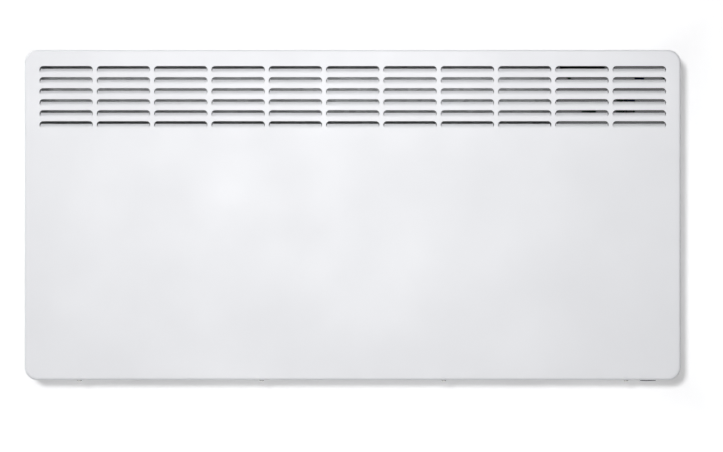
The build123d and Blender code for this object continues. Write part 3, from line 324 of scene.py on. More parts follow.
# soft blotches and fine grain, both from 0 to 1
def makeGrainGroup(setup):
    group, entry, leave = newGroup(
        "surfaceGrain",
        [("Vector", "NodeSocketVector", None), ("Blotch Scale", "NodeSocketFloat", setup["blotchScale"]),
         ("Grain Scale", "NodeSocketFloat", 900.0), ("Stretch", "NodeSocketVector", (1.0, 1.0, 1.0))],
        [("Blotch", "NodeSocketFloat"), ("Grain", "NodeSocketFloat")])
    stretched = group.nodes.new("ShaderNodeVectorMath")
    stretched.operation = "MULTIPLY"
    group.links.new(entry["Vector"], stretched.inputs[0])
    group.links.new(entry["Stretch"], stretched.inputs[1])
    for label, source in (("Blotch", entry["Vector"]), ("Grain", stretched.outputs[0])):
        noise = linkNode(group, "ShaderNodeTexNoise", {"Vector": source, "Scale": entry[f"{label} Scale"]},
                         Detail=setup[f"{label.lower()}Detail"], Roughness=setup["roughness"])
        spread = linkNode(group, "ShaderNodeMapRange", {"Value": noise.outputs["Fac"]},
                          From_Min=setup["from"], From_Max=setup["to"])
        group.links.new(spread.outputs["Result"], leave[label])
    return group


# crystals of a zinc coat, a grey level for each
def makeSpangleGroup(setup):
    group, entry, leave = newGroup(
        "zincSpangle",
        [("Vector", "NodeSocketVector", None), ("Scale", "NodeSocketFloat", 160.0)],
        [("Flake", "NodeSocketFloat")])
    warp = linkNode(group, "ShaderNodeTexNoise", {"Vector": entry["Vector"]},
                    Scale=setup["warpScale"], Detail=setup["warpDetail"])
    bent = group.nodes.new("ShaderNodeVectorMath")
    bent.operation = "MULTIPLY_ADD"
    group.links.new(warp.outputs["Color"], bent.inputs[0])
    bent.inputs[1].default_value = (setup["warp"],) * 3
    group.links.new(entry["Vector"], bent.inputs[2])
    cells = linkNode(group, "ShaderNodeTexVoronoi", {"Vector": bent.outputs[0], "Scale": entry["Scale"]})
    level = group.nodes.new("ShaderNodeSeparateColor")
    group.links.new(cells.outputs["Color"], level.inputs[0])
    group.links.new(level.outputs[0], leave["Flake"])
    return group


# dust that settles in patches on faces that look upwards
def makeDustGroup(setup):
    group, entry, leave = newGroup(
        "settledDust",
        [("Vector", "NodeSocketVector", None), ("Normal", "NodeSocketVector", None),
         ("Colour", "NodeSocketColor", (0.5, 0.5, 0.5, 1.0)), ("Amount", "NodeSocketFloat", 0.2)],
        [("Colour", "NodeSocketColor")])
    lean = linkNode(group, "ShaderNodeSeparateXYZ", {"Vector": entry["Normal"]})
    upward = linkNode(group, "ShaderNodeMapRange", {"Value": lean.outputs["Z"]},
                      From_Min=setup["leanFrom"], From_Max=1.0)
    noise = linkNode(group, "ShaderNodeTexNoise", {"Vector": entry["Vector"]},
                     Scale=setup["patchScale"], Detail=setup["patchDetail"])
    patchy = addMath(group, "MULTIPLY", upward.outputs["Result"], noise.outputs["Fac"])
    share = addMath(group, "MULTIPLY", patchy, entry["Amount"], clamp=True)
    mix = mixColours(group, share, entry["Colour"], setup["colour"])
    group.links.new(mix, leave["Colour"])
    return group


grainGroup = makeGrainGroup(grainSetup)
spangleGroup = makeSpangleGroup(spangleSetup)
dustGroup = makeDustGroup(dustSetup)


# one finish for each of the heater's materials
# shift is how much darker the blotches are; grain and spangle are counts per metre

finishes = {
    "powder_white": dict(colour=(0.862, 0.868, 0.895), rough=0.56, shift=0.015, grain=700, bump=0.006),
    "galvanised": dict(colour=(0.53, 0.54, 0.55), rough=0.34, metal=1.0, shift=0.34, spangle=105, grain=900,
                       bump=0.01, dust=0.10),
    "zinc_steel": dict(colour=(0.60, 0.60, 0.58), rough=0.30, metal=1.0, shift=0.12, grain=1400,
                       bump=0.015),
    "element_aluminium": dict(colour=(0.52, 0.52, 0.53), rough=0.42, metal=1.0, shift=0.12, grain=1200,
                              stretch=(0.02, 1, 1), bump=0.03, dust=0.25),
    "tube_steel": dict(colour=(0.30, 0.28, 0.26), rough=0.40, metal=1.0, shift=0.2, grain=1100,
                       stretch=(0.03, 1, 1), bump=0.02),
    "white_ceramic": dict(colour=(0.78, 0.75, 0.67), rough=0.62, shift=0.08, grain=1300, bump=0.03),
    "black_plastic": dict(colour=(0.020, 0.020, 0.022), rough=0.52, shift=0.15, grain=1700, bump=0.035,
                          dust=0.04, shine=0.32),
    "charcoal_plastic": dict(colour=(0.062, 0.063, 0.067), rough=0.5, shift=0.12, grain=1700, bump=0.035,
                             dust=0.04),
    "key_grey": dict(colour=(0.16, 0.165, 0.175), rough=0.50, shift=0.06, grain=1900, bump=0.03,
                     shine=0.35),
    "smoked_window": dict(colour=(0.66, 0.69, 0.70), rough=0.05, shift=0.02, grain=300, bump=0.0,
                          clear=0.96),
    "display_grey": dict(colour=(0.47, 0.53, 0.44), rough=0.40, shift=0.05, grain=3000, bump=0.004),
    "display_ink": dict(colour=(0.018, 0.020, 0.022), rough=0.40, shift=0.05, grain=2500, bump=0.004),
    "print_white": dict(colour=(0.80, 0.80, 0.79), rough=0.55, shift=0.05, grain=2200, bump=0.01),
    "board_green": dict(colour=(0.010, 0.050, 0.026), rough=0.30, shift=0.25, grain=600, bump=0.015,
                        coat=0.2),
    "relay_black": dict(colour=(0.018, 0.018, 0.020), rough=0.30, shift=0.1, grain=1500, bump=0.01),
    "coil_blue": dict(colour=(0.014, 0.026, 0.095), rough=0.28, shift=0.15, grain=900, bump=0.015),
    "capacitor_grey": dict(colour=(0.15, 0.155, 0.16), rough=0.32, shift=0.1, grain=1500, bump=0.01),
    "terminal_green": dict(colour=(0.030, 0.130, 0.050), rough=0.45, shift=0.1, grain=1500, bump=0.02),
    "terminal_white": dict(colour=(0.68, 0.68, 0.63), rough=0.45, shift=0.05, grain=1500, bump=0.02),
    "silicone_grey": dict(colour=(0.26, 0.27, 0.28), rough=0.55, shift=0.08, grain=1200, bump=0.02),
    "rubber_black": dict(colour=(0.016, 0.016, 0.016), rough=0.72, shift=0.2, grain=1300, bump=0.05,
                         dust=0.12, shine=0.3),
    "tinned_brass": dict(colour=(0.62, 0.58, 0.46), rough=0.30, metal=1.0, shift=0.12, grain=1500,
                         bump=0.015),
    "wire_brown": dict(colour=(0.048, 0.018, 0.008), rough=0.42, shift=0.12, grain=700, bump=0.02),
    "wire_blue": dict(colour=(0.010, 0.040, 0.260), rough=0.42, shift=0.12, grain=700, bump=0.02),
    "wire_black": dict(colour=(0.012, 0.012, 0.012), rough=0.42, shift=0.12, grain=700, bump=0.02),
    "wire_white": dict(colour=(0.62, 0.62, 0.59), rough=0.45, shift=0.08, grain=700, bump=0.02),
    "wire_earth": dict(colour=(0.060, 0.230, 0.020), rough=0.42, shift=0.1, grain=700, bump=0.02),
}

finishSetup = {
    "smoothest": 0.86,          # shares of a finish's roughness
    "roughest": 1.16,
    "flakeShade": 0.75,         # how far the darkest zinc crystal goes to the dark tone
    "reliefHeight": 4.0,        # millimetres for a bump of 1
    "reliefStrength": 0.6,
    "coatRoughness": 0.25,
}


def useGroup(tree, group, links, **values):
    node = tree.nodes.new("ShaderNodeGroup")
    node.node_tree = group
    for key, value in values.items():
        node.inputs[key.replace("_", " ")].default_value = value
    for key, source in links.items():
        tree.links.new(source, node.inputs[key])
    return node.outputs


def makeFinish(name, colour, rough, shift, grain, bump, metal=0.0, spangle=0.0, stretch=(1, 1, 1), dust=0.0,
               clear=0.0, coat=0.0, shine=0.5):
    material, tree, shader = openMaterial(name)
    place = tree.nodes.new("ShaderNodeTexCoord").outputs["Object"]
    surface = useGroup(tree, grainGroup, {"Vector": place}, Grain_Scale=grain, Stretch=stretch)
    light = (*colour, 1.0)
    dark = (*(channel * (1.0 - shift) for channel in colour), 1.0)
    tone = mixColours(tree, surface["Blotch"], light, dark)
    gloss = surface["Blotch"]
    if spangle:
        gloss = useGroup(tree, spangleGroup, {"Vector": place}, Scale=spangle)["Flake"]
        tone = mixColours(tree, addMath(tree, "MULTIPLY", gloss, finishSetup["flakeShade"]), tone, dark)
    if dust:
        normal = tree.nodes.new("ShaderNodeNewGeometry").outputs["Normal"]
        links = {"Vector": place, "Normal": normal, "Colour": tone}
        tone = useGroup(tree, dustGroup, links, Amount=dust)["Colour"]
    tree.links.new(tone, shader.inputs["Base Color"])
    spread = linkNode(tree, "ShaderNodeMapRange", {"Value": gloss},
                      To_Min=rough * finishSetup["smoothest"], To_Max=rough * finishSetup["roughest"])
    tree.links.new(spread.outputs["Result"], shader.inputs["Roughness"])
    if bump:
        relief = linkNode(tree, "ShaderNodeBump", {"Height": surface["Grain"]},
                          Distance=bump * mm * finishSetup["reliefHeight"],
                          Strength=finishSetup["reliefStrength"])
        tree.links.new(relief.outputs["Normal"], shader.inputs["Normal"])
    shader.inputs["Metallic"].default_value = metal
    shader.inputs["Transmission Weight"].default_value = clear
    shader.inputs["Coat Weight"].default_value = coat
    shader.inputs["Coat Roughness"].default_value = finishSetup["coatRoughness"]
    shader.inputs["Specular IOR Level"].default_value = shine
    return material


materials = {name: makeFinish(name, **setup) for name, setup in finishes.items()}
for row in frame["record"]["subparts"]:
    mesh = nodes[row["node"]].data
    mesh.materials.clear()
    mesh.materials.append(materials[row["material_slot"]])
nodes["control_housing"].data.materials[0] = materials["charcoal_plastic"]     # paler than the fascia
print("finishes set:", len(materials))


# outlines and small helpers

sideTurn = Matrix(((0, 0, 1), (1, 0, 0), (0, 1, 0)))     # a flat drawing turned to look out to the right
floorTurn = Matrix.Identity(3)


def unique(parts):
    return list(dict.fromkeys(parts))


def edgesOf(verts):
    return unique(edge for vert in verts for edge in vert.link_edges)


def roundedOutline(bm, width, height, radius, segments, filled=False):
    made = bmesh.ops.create_circle(bm, cap_ends=filled, segments=segments, radius=radius)["verts"]
    turn = Matrix.Rotation(math.pi / segments, 3, "Z")
    bmesh.ops.rotate(bm, verts=made, cent=(0, 0, 0), matrix=turn)
    for vert in made:
        vert.co.x += math.copysign(width / 2 - radius, vert.co.x)
        vert.co.y += math.copysign(height / 2 - radius, vert.co.y)
    return made


# gives back the new faces round the face, which shrinks
def insetFace(bm, face, width):
    made = bmesh.ops.inset_region(bm, faces=[face], thickness=width, use_even_offset=True,
                                  use_boundary=True)
    return made["faces"]


def smoothStep(value, low, high):
    share = min(max((value - low) / (high - low), 0.0), 1.0)
    return share * share * (3.0 - 2.0 * share)


def weighNormals(piece):
    shade = piece.modifiers.new("shade", "WEIGHTED_NORMAL")
    shade.keep_sharp = True


# cover: one pressed tray with louvres, air intake slots and cut-outs for the controls, in millimetres

coverShape = {
    "cornerRadius": 18.0,
    "cornerSteps": 14,
    "edgeRadius": 4.0,
    "edgeSteps": 5,
    "sheet": 1.0,
    "lipHeight": 13.0,
    "rimRadius": 0.22,          # on every cut edge of the sheet
    "rimSteps": 2,
    "rimAngle": 50.0,
    "fasciaHole": (50.0, 100.0),
    "fasciaCorner": 6.0,
    "fasciaSteps": 24,
    "fasciaPlace": (-65.0, 151.0),
    "switchHole": (20.0, 28.0),
    "switchCorner": 0.6,
    "switchSteps": 12,
    "switchPlace": (403.0, -72.0),
    "screwHoleRadius": 2.25,
    "screwPlaces": [(x, -88.0) for x in (-373.0, -124.333, 124.333, 373.0)],
    "roundSteps": 16,           # of the screw holes and the slots' ends
    "intakeSlot": (3.8, 44.0),
    "intakePitch": 11.0,
    "intakeY": -67.5,
    "intakeBays": (-248.667, 0.0, 248.667),
    "intakePerBay": 20,
}

louvreShape = {
    "length": 72.6,
    "height": 9.8,
    "edgeAt": 1.6,              # blade's upper edge, above the louvre's middle
    "depth": 5.2,               # of the blade's upper edge, behind the front
    "curve": 1.75,              # 1 for a flat blade, 2 for a round scoop
    "endSlope": 2.5,
    "endBlend": 1.0,            # where the blade runs into its ends
    "land": 0.5,                # flat ring round the louvre
    "segments": 32,
    "ringsBelow": (0.45, 1.1, 2.2, 3.4, 4.5),
    "ringsAbove": (1.6, 1.9, 2.6, 3.5, 4.5),
    "ringTolerance": 0.01,
    "slitFoot": -2.8,           # where the slit beside the blade ends, below the louvre's middle
    "columns": 11,
    "rows": 6,
    "pitchX": 78.0,
    "pitchZ": 15.0,
    "firstRowZ": 197.75,
}


def spinePoint(co, setup):
    half = (setup["length"] - setup["height"]) / 2 * mm
    return Vector((min(max(co.x, -half), half), 0.0, 0.0))


# how far a point lies inside the louvre's outline
def distanceInside(co, setup):
    return setup["height"] / 2 * mm - (co - spinePoint(co, setup)).length


# the louvre's outline with its land, inset ring by ring; gives back the faces of the land
def insetRings(bm, setup):
    land = setup["land"]
    size = (setup["length"] + 2 * land, setup["height"] + 2 * land)
    roundedOutline(bm, size[0] * mm, size[1] * mm, size[1] / 2 * mm, setup["segments"], filled=True)
    bm.faces.ensure_lookup_table()
    blade = bm.faces[0]
    outside = set(insetFace(bm, blade, land * mm))
    for outer, inner in zip((0.0, *setup["ringsBelow"]), setup["ringsBelow"]):
        insetFace(bm, blade, (inner - outer) * mm)
    return outside


# moves the inset rings so that the slit is wide above and closes towards the foot
def spreadRings(bm, setup):
    radius = setup["height"] / 2 * mm
    below = [0.0] + [d * mm for d in setup["ringsBelow"]]
    above = [0.0] + [d * mm for d in setup["ringsAbove"]]
    for vert in bm.verts:
        spine = spinePoint(vert.co, setup)
        away = vert.co - spine
        distance = radius - away.length
        if distance < setup["ringTolerance"] * mm or away.length < hair:
            continue
        ring = min(range(len(below)), key=lambda i: abs(below[i] - distance))
        away.normalize()
        share = smoothStep(away.y * radius, setup["slitFoot"] * mm, setup["edgeAt"] * mm)
        vert.co = spine + away * (radius - below[ring] - (above[ring] - below[ring]) * share)


# cuts away what is above the blade, and the first ring down to the slit's foot
def cutSlit(bm, outside, setup):
    edgeAt = setup["edgeAt"] * mm
    slitFoot = setup["slitFoot"] * mm
    inside = [face for face in bm.faces if face not in outside]
    edges = unique(edge for face in inside for edge in face.edges)
    verts = unique(vert for face in inside for vert in face.verts)
    bmesh.ops.bisect_plane(bm, geom=inside + edges + verts, dist=hair, plane_co=(0, edgeAt, 0),
                           plane_no=(0, 1, 0))
    doomed = []
    for face in bm.faces:
        centre = face.calc_center_median()
        if distanceInside(centre, setup) < 0.0:
            continue
        nearest = min(abs(distanceInside(vert.co, setup)) for vert in face.verts)
        inFirstRing = nearest < setup["ringTolerance"] * mm
        if centre.y > edgeAt or (inFirstRing and centre.y > slitFoot):
            doomed.append(face)
    bmesh.ops.delete(bm, geom=doomed, context="FACES")


def bladeDepth(co, setup):
    radius = setup["height"] / 2 * mm
    share = max(co.y + radius, 0.0) / (setup["edgeAt"] * mm + radius)
    rise = setup["depth"] * mm * share ** setup["curve"]
    end = setup["endSlope"] * max(distanceInside(co, setup), 0.0)
    blend = setup["endBlend"] * mm
    near = max(blend - abs(rise - end), 0.0) / blend
    return max(min(rise, end) - near * near * blend / 4, 0.0)


# the louvre's own rectangle of the front, which meets its neighbours
def fillCell(bm, setup):
    landEdges = [edge for edge in bm.edges if edge.is_boundary and all(
        distanceInside(vert.co, setup) < -setup["land"] * mm / 2 for vert in edge.verts)]
    cell = bmesh.ops.create_grid(bm, x_segments=1, y_segments=1, size=0.5)["verts"]
    bmesh.ops.scale(bm, verts=cell, vec=(setup["pitchX"] * mm, setup["pitchZ"] * mm, 1))
    bmesh.ops.delete(bm, geom=[cell[0].link_faces[0]], context="FACES_ONLY")
    for edge in edgesOf(cell):
        edge.seam = True
    bmesh.ops.triangle_fill(bm, use_beauty=True, edges=edgesOf(cell) + landEdges, normal=(0, 0, 1))


def buildLouvre(setup):
    bm = bmesh.new()
    outside = insetRings(bm, setup)
    spreadRings(bm, setup)
    cutSlit(bm, outside, setup)
    for vert in bm.verts:
        if distanceInside(vert.co, setup) > 0.0:
            vert.co.z = -bladeDepth(vert.co, setup)
    fillCell(bm, setup)
    bmesh.ops.rotate(bm, verts=bm.verts, cent=(0, 0, 0), matrix=Matrix.Rotation(math.pi / 2, 3, "X"))
    mesh = bpy.data.meshes.new("louvre")
    bm.to_mesh(mesh)
    bm.free()
    return mesh


def widestFace(bm, direction):
    facing = [face for face in bm.faces if face.normal.dot(Vector(direction)) > 0.99]
    return max(facing, key=lambda face: face.calc_area())


def roundEdges(bm, edges, radius, steps):
    bmesh.ops.bevel(bm, geom=edges, offset=radius * mm, offset_type="OFFSET", segments=steps, profile=0.5,
                    affect="EDGES", material=-1)


# a box without its back, with round corners and a smaller round where the sides meet the front
def buildTray(setup, low, high):
    bm = bmesh.new()
    bmesh.ops.create_cube(bm, size=1.0)
    bmesh.ops.scale(bm, verts=bm.verts, vec=high - low)
    bmesh.ops.translate(bm, verts=bm.verts, vec=(low + high) / 2)
    bm.normal_update()
    bmesh.ops.delete(bm, geom=[widestFace(bm, (0, 1, 0))], context="FACES")
    middle = (low.y + high.y) / 2
    corners = [e for e in bm.edges if min(v.co.y for v in e.verts) < middle < max(v.co.y for v in e.verts)]
    roundEdges(bm, corners, setup["cornerRadius"], setup["cornerSteps"])
    rim = [e for e in bm.edges if all(v.co.y < low.y + hair for v in e.verts)]
    roundEdges(bm, rim, setup["edgeRadius"], setup["edgeSteps"])
    return bm


# the return lip behind the top edge, between the corners
def foldLip(bm, setup, high):
    reach = high.x - setup["cornerRadius"] * mm + hair

    def onTopEdge(vert):
        return vert.co.y > high.y - hair and vert.co.z > high.z - hair and abs(vert.co.x) < reach

    back = [edge for edge in bm.edges if all(onTopEdge(vert) for vert in edge.verts)]
    folded = bmesh.ops.extrude_edge_only(bm, edges=back)["geom"]
    lip = [part for part in folded if isinstance(part, bmesh.types.BMVert)]
    bmesh.ops.translate(bm, verts=lip, vec=(0, 0, -setup["lipHeight"] * mm))


def addLouvres(bm, louvre, setup, low):
    bm.normal_update()
    front = widestFace(bm, (0, -1, 0))
    for column in range(setup["columns"]):
        for row in range(setup["rows"]):
            x = (column - (setup["columns"] - 1) / 2) * setup["pitchX"]
            z = setup["firstRowZ"] - row * setup["pitchZ"]
            place = Matrix.Translation((x * mm, low.y, z * mm))
            louvre.transform(place)
            bm.from_mesh(louvre)
            louvre.transform(place.inverted())
    border = list(front.edges)
    bmesh.ops.delete(bm, geom=[front], context="FACES_ONLY")
    bmesh.ops.remove_doubles(bm, verts=bm.verts, dist=setup["ringTolerance"] * mm)
    block = [edge for edge in bm.edges if edge.seam and edge.is_boundary]
    bmesh.ops.triangle_fill(bm, use_beauty=True, edges=border + block, normal=(0, -1, 0))
    for edge in bm.edges:
        edge.seam = False


def holeEdges(bm, size, radius, segments, turn, place):
    verts = roundedOutline(bm, size[0] * mm, size[1] * mm, radius * mm, segments)
    bmesh.ops.transform(bm, verts=verts, matrix=Matrix.Translation(Vector(place) * mm) @ turn.to_4x4())
    return edgesOf(verts)


def cutHoles(bm, direction, holes):
    face = widestFace(bm, direction)
    normal = face.normal.copy()
    border = list(face.edges)
    bmesh.ops.delete(bm, geom=[face], context="FACES_ONLY")
    bmesh.ops.triangle_fill(bm, use_beauty=True, edges=border + holes, normal=normal)


# air intake slots, screw holes and the mains switch's opening
def cutFloor(bm, setup, low):
    bm.normal_update()
    level = low.z / mm
    steps = setup["roundSteps"]
    slot = setup["intakeSlot"]
    radius = setup["screwHoleRadius"]
    holes = []
    for bay in setup["intakeBays"]:
        for number in range(setup["intakePerBay"]):
            x = bay + (number - (setup["intakePerBay"] - 1) / 2) * setup["intakePitch"]
            holes += holeEdges(bm, slot, slot[0] / 2, steps, floorTurn, (x, setup["intakeY"], level))
    for x, y in setup["screwPlaces"]:
        holes += holeEdges(bm, (2 * radius, 2 * radius), radius, steps, floorTurn, (x, y, level))
    place = (*setup["switchPlace"], level)
    holes += holeEdges(bm, setup["switchHole"], setup["switchCorner"], setup["switchSteps"], floorTurn, place)
    cutHoles(bm, (0, 0, -1), holes)


# the opening for the controls in the right side
def cutSide(bm, setup, high):
    bm.normal_update()
    place = (high.x / mm, *setup["fasciaPlace"])
    holes = holeEdges(bm, setup["fasciaHole"], setup["fasciaCorner"], setup["fasciaSteps"], sideTurn, place)
    cutHoles(bm, (1, 0, 0), holes)


def thickenSheet(cover, setup):
    wall = cover.modifiers.new("sheet", "SOLIDIFY")
    wall.thickness = setup["sheet"] * mm
    wall.offset = -1.0
    wall.use_even_offset = True
    rims = cover.modifiers.new("rims", "BEVEL")
    rims.width = setup["rimRadius"] * mm
    rims.segments = setup["rimSteps"]
    rims.limit_method = "ANGLE"
    rims.angle_limit = math.radians(setup["rimAngle"])
    rims.use_clamp_overlap = False
    weighNormals(cover)


def buildCover(setup, louvreSetup):
    low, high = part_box("front_cover")
    bm = buildTray(setup, low, high)
    foldLip(bm, setup, high)
    addLouvres(bm, buildLouvre(louvreSetup), louvreSetup, low)
    cutFloor(bm, setup, low)
    cutSide(bm, setup, high)
    bmesh.ops.remove_doubles(bm, verts=bm.verts, dist=hair)
    cover = finishMesh(bm, "cover", smooth=True)
    cover.data.materials.append(materials["powder_white"])
    thickenSheet(cover, setup)
    return cover


cover = buildCover(coverShape, louvreShape)
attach(cover, "heater")
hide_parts("front_cover")
print("cover built")


# screws with a cross recess, in millimetres

screwSets = {
    "coverScrewSet": dict(
        node="cover_screws", out=(0, 0, -1), headRadius=3.5, headHeight=2.5, shankRadius=1.95,
        shankLength=10.0, places=[(x, y, -225.0) for x, y in coverShape["screwPlaces"]]),
    "lipScrewSet": dict(
        node="lip_screws", out=(0, 1, 0), headRadius=3.5, headHeight=2.0, shankRadius=1.95,
        shankLength=8.0, places=[(186.5 * step, -22.0, 218.0) for step in (-2, -1, 0, 1, 2)]),
    "housingScrewSet": dict(
        node="control_screws", out=(0, 1, 0), headRadius=3.5, headHeight=2.0, shankRadius=1.95,
        shankLength=11.0, places=[(x, -23.0, z) for x in (285.5, 431.0) for z in (102.5, 199.5)]),
    "boardScrewSet": dict(
        node="control_screws", out=(0, -1, 0), headRadius=2.4, headHeight=1.6, shankRadius=1.2,
        shankLength=5.6, places=[(x, -46.0, z) for x in (295.0, 425.0) for z in (114.0, 188.0)]),
}

# radii are shares of the head's radius, heights of its height
screwShape = {
    "segments": 24,
    "rim": 0.5,                 # height of the head's straight side
    "crown": ((0.8, 0.93), (0.96, 0.78), (1.0, 0.66)),     # height and radius of the round's rings
    "crownInset": 0.01,
    "armLength": 0.62,
    "armWidth": 0.17,
    "recess": ((1.0, 1.0), (0.5, 0.55)),     # height, and share of the cross at that height
    "recessInset": 0.005,
    "shankSegments": 16,
    "shankTaper": 0.8,
    "firstTurn": 0.7,           # radians, so that no two crosses lie alike
    "nextTurn": 1.9,
}


def crossRadius(angle, length, width):
    fromArm = abs((angle + math.pi / 4) % (math.pi / 2) - math.pi / 4)
    return length if math.sin(fromArm) * length <= width else width / math.sin(fromArm)


def addCylinder(bm, radii, length, middle, segments):
    bmesh.ops.create_cone(bm, cap_ends=True, segments=segments, radius1=radii[0], radius2=radii[1],
                          depth=length, matrix=Matrix.Translation((0, 0, middle)))


# the head's top looks along +Z and its seat is at 0
def screwMesh(setup, shape):
    radius = setup["headRadius"] * mm
    height = setup["headHeight"] * mm
    bm = bmesh.new()
    rim = height * shape["rim"]
    addCylinder(bm, (radius, radius), rim, rim / 2, shape["segments"])
    top = max(bm.faces, key=lambda face: face.calc_center_median().z)
    for lift, share in shape["crown"]:
        insetFace(bm, top, radius * shape["crownInset"])
        for vert in top.verts:
            flat = Vector((vert.co.x, vert.co.y, 0.0)).normalized() * radius * share
            vert.co = (flat.x, flat.y, height * lift)
    for lift, share in shape["recess"]:
        insetFace(bm, top, radius * shape["recessInset"])
        for vert in top.verts:
            angle = math.atan2(vert.co.y, vert.co.x)
            reach = crossRadius(angle, shape["armLength"], shape["armWidth"]) * radius * share
            vert.co = (math.cos(angle) * reach, math.sin(angle) * reach, height * lift)
    length = setup["shankLength"] * mm
    shank = setup["shankRadius"] * mm
    addCylinder(bm, (shank * shape["shankTaper"], shank), length, -length / 2, shape["shankSegments"])
    mesh = bpy.data.meshes.new("screw")
    bm.to_mesh(mesh)
    bm.free()
    return mesh


def buildScrews(name, setup, shape):
    bm = bmesh.new()
    mesh = screwMesh(setup, shape)
    seat = Vector((0, 0, 1)).rotation_difference(Vector(setup["out"])).to_matrix().to_4x4()
    for number, place in enumerate(setup["places"]):
        turn = Matrix.Rotation(shape["firstTurn"] + shape["nextTurn"] * number, 4, "Z")
        matrix = Matrix.Translation(Vector(place) * mm) @ seat @ turn
        mesh.transform(matrix)
        bm.from_mesh(mesh)
        mesh.transform(matrix.inverted())
    piece = finishMesh(bm, name, smooth=True)
    piece.data.materials.append(materials["zinc_steel"])
    weighNormals(piece)
    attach(piece, "heater")
    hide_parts(setup["node"])


for name, setup in screwSets.items():
    buildScrews(name, setup, screwShape)
print("screws built")


# printed signs, drawn flat in millimetres

printSetup = {
    "thickness": 0.06,
    "barCorner": 0.3,           # radius as a share of a bar's narrow side, unless one is given
    "barSteps": 12,
    "ringSteps": 28,
}


def addBar(bm, x, y, width, height, radius=None, angle=0.0):
    if radius is None:
        radius = min(width, height) * printSetup["barCorner"]
    verts = roundedOutline(bm, width, height, radius, printSetup["barSteps"], filled=True)
    place = Matrix.Translation((x, y, 0)) @ Matrix.Rotation(angle, 4, "Z")
    bmesh.ops.transform(bm, verts=verts, matrix=place)


def addRing(bm, x, y, radius, stroke):
    steps = printSetup["ringSteps"]
    verts = bmesh.ops.create_circle(bm, cap_ends=True, segments=steps, radius=radius)["verts"]
    face = verts[0].link_faces[0]
    ring = insetFace(bm, face, stroke)
    bmesh.ops.delete(bm, geom=[face], context="FACES_ONLY")
    bmesh.ops.translate(bm, verts=unique(vert for part in ring for vert in part.verts), vec=(x, y, 0))


# a flat drawing becomes a thin raised print, turned and put in place
def buildSign(name, bm, turn, place, body, finish):
    raised = bmesh.ops.extrude_face_region(bm, geom=bm.faces[:])["geom"]
    verts = [part for part in raised if isinstance(part, bmesh.types.BMVert)]
    bmesh.ops.translate(bm, verts=verts, vec=(0, 0, printSetup["thickness"]))
    matrix = Matrix.Translation(Vector(place) * mm) @ turn.to_4x4() @ Matrix.Scale(mm, 4)
    bmesh.ops.transform(bm, verts=bm.verts, matrix=matrix)
    piece = finishMesh(bm, name)
    piece.data.materials.append(materials[finish])
    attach(piece, body)


# signs on the four keys: lines for the menu, a sun for the mode, and two arrows

keySigns = {
    "face": 447.8,
    "places": {"menu": (-74.0, 137.0), "mode": (-56.0, 137.0),
               "down": (-74.0, 119.0), "up": (-56.0, 119.0)},
    "line": (4.4, 0.7),
    "lineStep": 1.6,
    "sun": (1.3, 0.5),          # radius and stroke
    "rays": 8,
    "ray": (0.9, 0.5),
    "rayAt": 2.3,
    "arrowBar": (3.4, 0.9),
    "arrowSpread": 1.05,        # of each bar's middle from the arrow's axis
}


def drawLines(bm, setup):
    for step in (-1, 0, 1):
        addBar(bm, 0.0, step * setup["lineStep"], *setup["line"])


def drawSun(bm, setup):
    addRing(bm, 0.0, 0.0, *setup["sun"])
    for number in range(setup["rays"]):
        angle = number * 2 * math.pi / setup["rays"]
        x = math.cos(angle) * setup["rayAt"]
        y = math.sin(angle) * setup["rayAt"]
        addBar(bm, x, y, *setup["ray"], angle=angle)


def drawArrow(bm, setup, direction):
    for side in (-1, 1):
        angle = -side * direction * math.pi / 4
        addBar(bm, side * setup["arrowSpread"], 0.0, *setup["arrowBar"], angle=angle)


for key, (y, z) in keySigns["places"].items():
    bm = bmesh.new()
    if key == "menu":
        drawLines(bm, keySigns)
    elif key == "mode":
        drawSun(bm, keySigns)
    else:
        drawArrow(bm, keySigns, 1 if key == "up" else -1)
    place = (keySigns["face"], y, z)
    buildSign(f"sign_{key}", bm, sideTurn, place, f"button_{key}", "print_white")
print("key signs built")


# the display's figures, with a point, a degree sign and a row of level bars

display = {
    "face": 443.7,
    "middle": (-65.0, 178.0),
    "figure": (5.6, 10.4),
    "stroke": 1.15,
    "corner": 0.45,             # share of the stroke
    "overlap": 0.75,            # of a bar's length, as a share of the stroke
    "figures": "215",
    "figureX": (-9.2, -0.6, 8.8),
    "figureY": 1.2,
    "lit": {"2": "abged", "1": "bc", "5": "afgcd"},
    "point": (3.75, -3.6, 1.2, 1.2),
    "pointCorner": 0.4,
    "degree": (13.2, 6.0, 1.0, 0.45),
    "levels": (0.9, 0.9, 0.9, 0.9, 0.9, 0.4, 0.4),     # heights of the bars
    "levelWidth": 2.2,
    "levelPitch": 3.0,
    "levelY": -8.6,
}


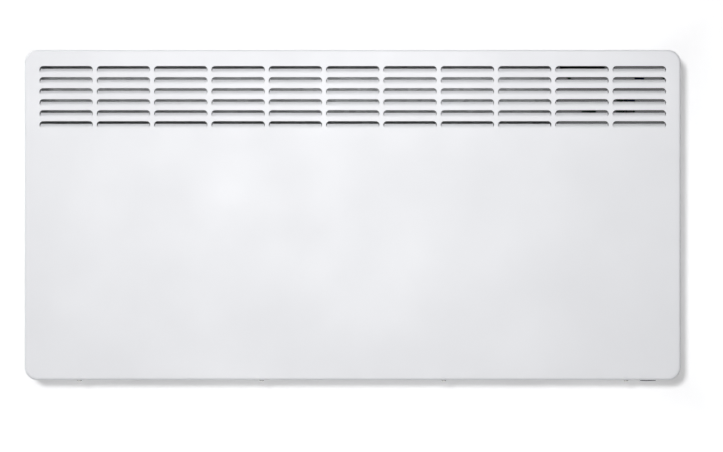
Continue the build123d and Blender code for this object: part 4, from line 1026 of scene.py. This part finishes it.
# seven bars: a top, b and c right, d bottom, e and f left, g middle
def addFigure(bm, x, y, bars):
    width, height = display["figure"]
    stroke = display["stroke"]
    half = height / 4
    places = {
        "a": (0, 2 * half, True), "g": (0, 0, True), "d": (0, -2 * half, True),
        "f": (-width / 2, half, False), "b": (width / 2, half, False),
        "e": (-width / 2, -half, False), "c": (width / 2, -half, False),
    }
    for bar in bars:
        dx, dy, level = places[bar]
        length = (width if level else 2 * half) - stroke * display["overlap"]
        size = (length, stroke) if level else (stroke, length)
        addBar(bm, x + dx, y + dy, *size, radius=stroke * display["corner"])


def drawDisplay(bm):
    for x, figure in zip(display["figureX"], display["figures"]):
        addFigure(bm, x, display["figureY"], display["lit"][figure])
    addBar(bm, *display["point"], radius=display["pointCorner"])
    addRing(bm, *display["degree"])
    for number, height in enumerate(display["levels"]):
        x = (number - (len(display["levels"]) - 1) / 2) * display["levelPitch"]
        addBar(bm, x, display["levelY"], display["levelWidth"], height)


bm = bmesh.new()
drawDisplay(bm)
buildSign("displayFigures", bm, sideTurn, (display["face"], *display["middle"]), "heater", "display_ink")
print("display built")


# a line and a ring on the rocker's two halves

rocker = {
    "pivot": (403.0, -72.0, -221.5),
    "tilt": -10.0,
    "slope": 8.2,               # of the face on each side of the pivot
    "markAt": 6.2,              # from the pivot along the rocker
    "markDrop": 5.1,
    "onLine": (0.9, 3.8),
    "offRing": (2.0, 0.75),     # radius and stroke
}


def turnX(degrees):
    return Matrix.Rotation(math.radians(degrees), 3, "X")


for side, name in ((1, "markOn"), (-1, "markOff")):
    bm = bmesh.new()
    if name == "markOn":
        addBar(bm, 0.0, 0.0, *rocker["onLine"])
    else:
        addRing(bm, 0.0, 0.0, *rocker["offRing"])
    place = turnX(rocker["tilt"]) @ Vector((0, side * rocker["markAt"], -rocker["markDrop"]))
    turn = turnX(rocker["tilt"]) @ turnX(side * rocker["slope"]) @ turnX(180.0)
    buildSign(name, bm, turn, Vector(rocker["pivot"]) + place, "rocker", "print_white")
print("rocker marks built")


# the lights marked alone fall on the heater and not on the stage
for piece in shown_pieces():
    heaterOnly.objects.link(piece)


print("cad box", [round(v, 4) for v in (*cadLow, *cadHigh)])
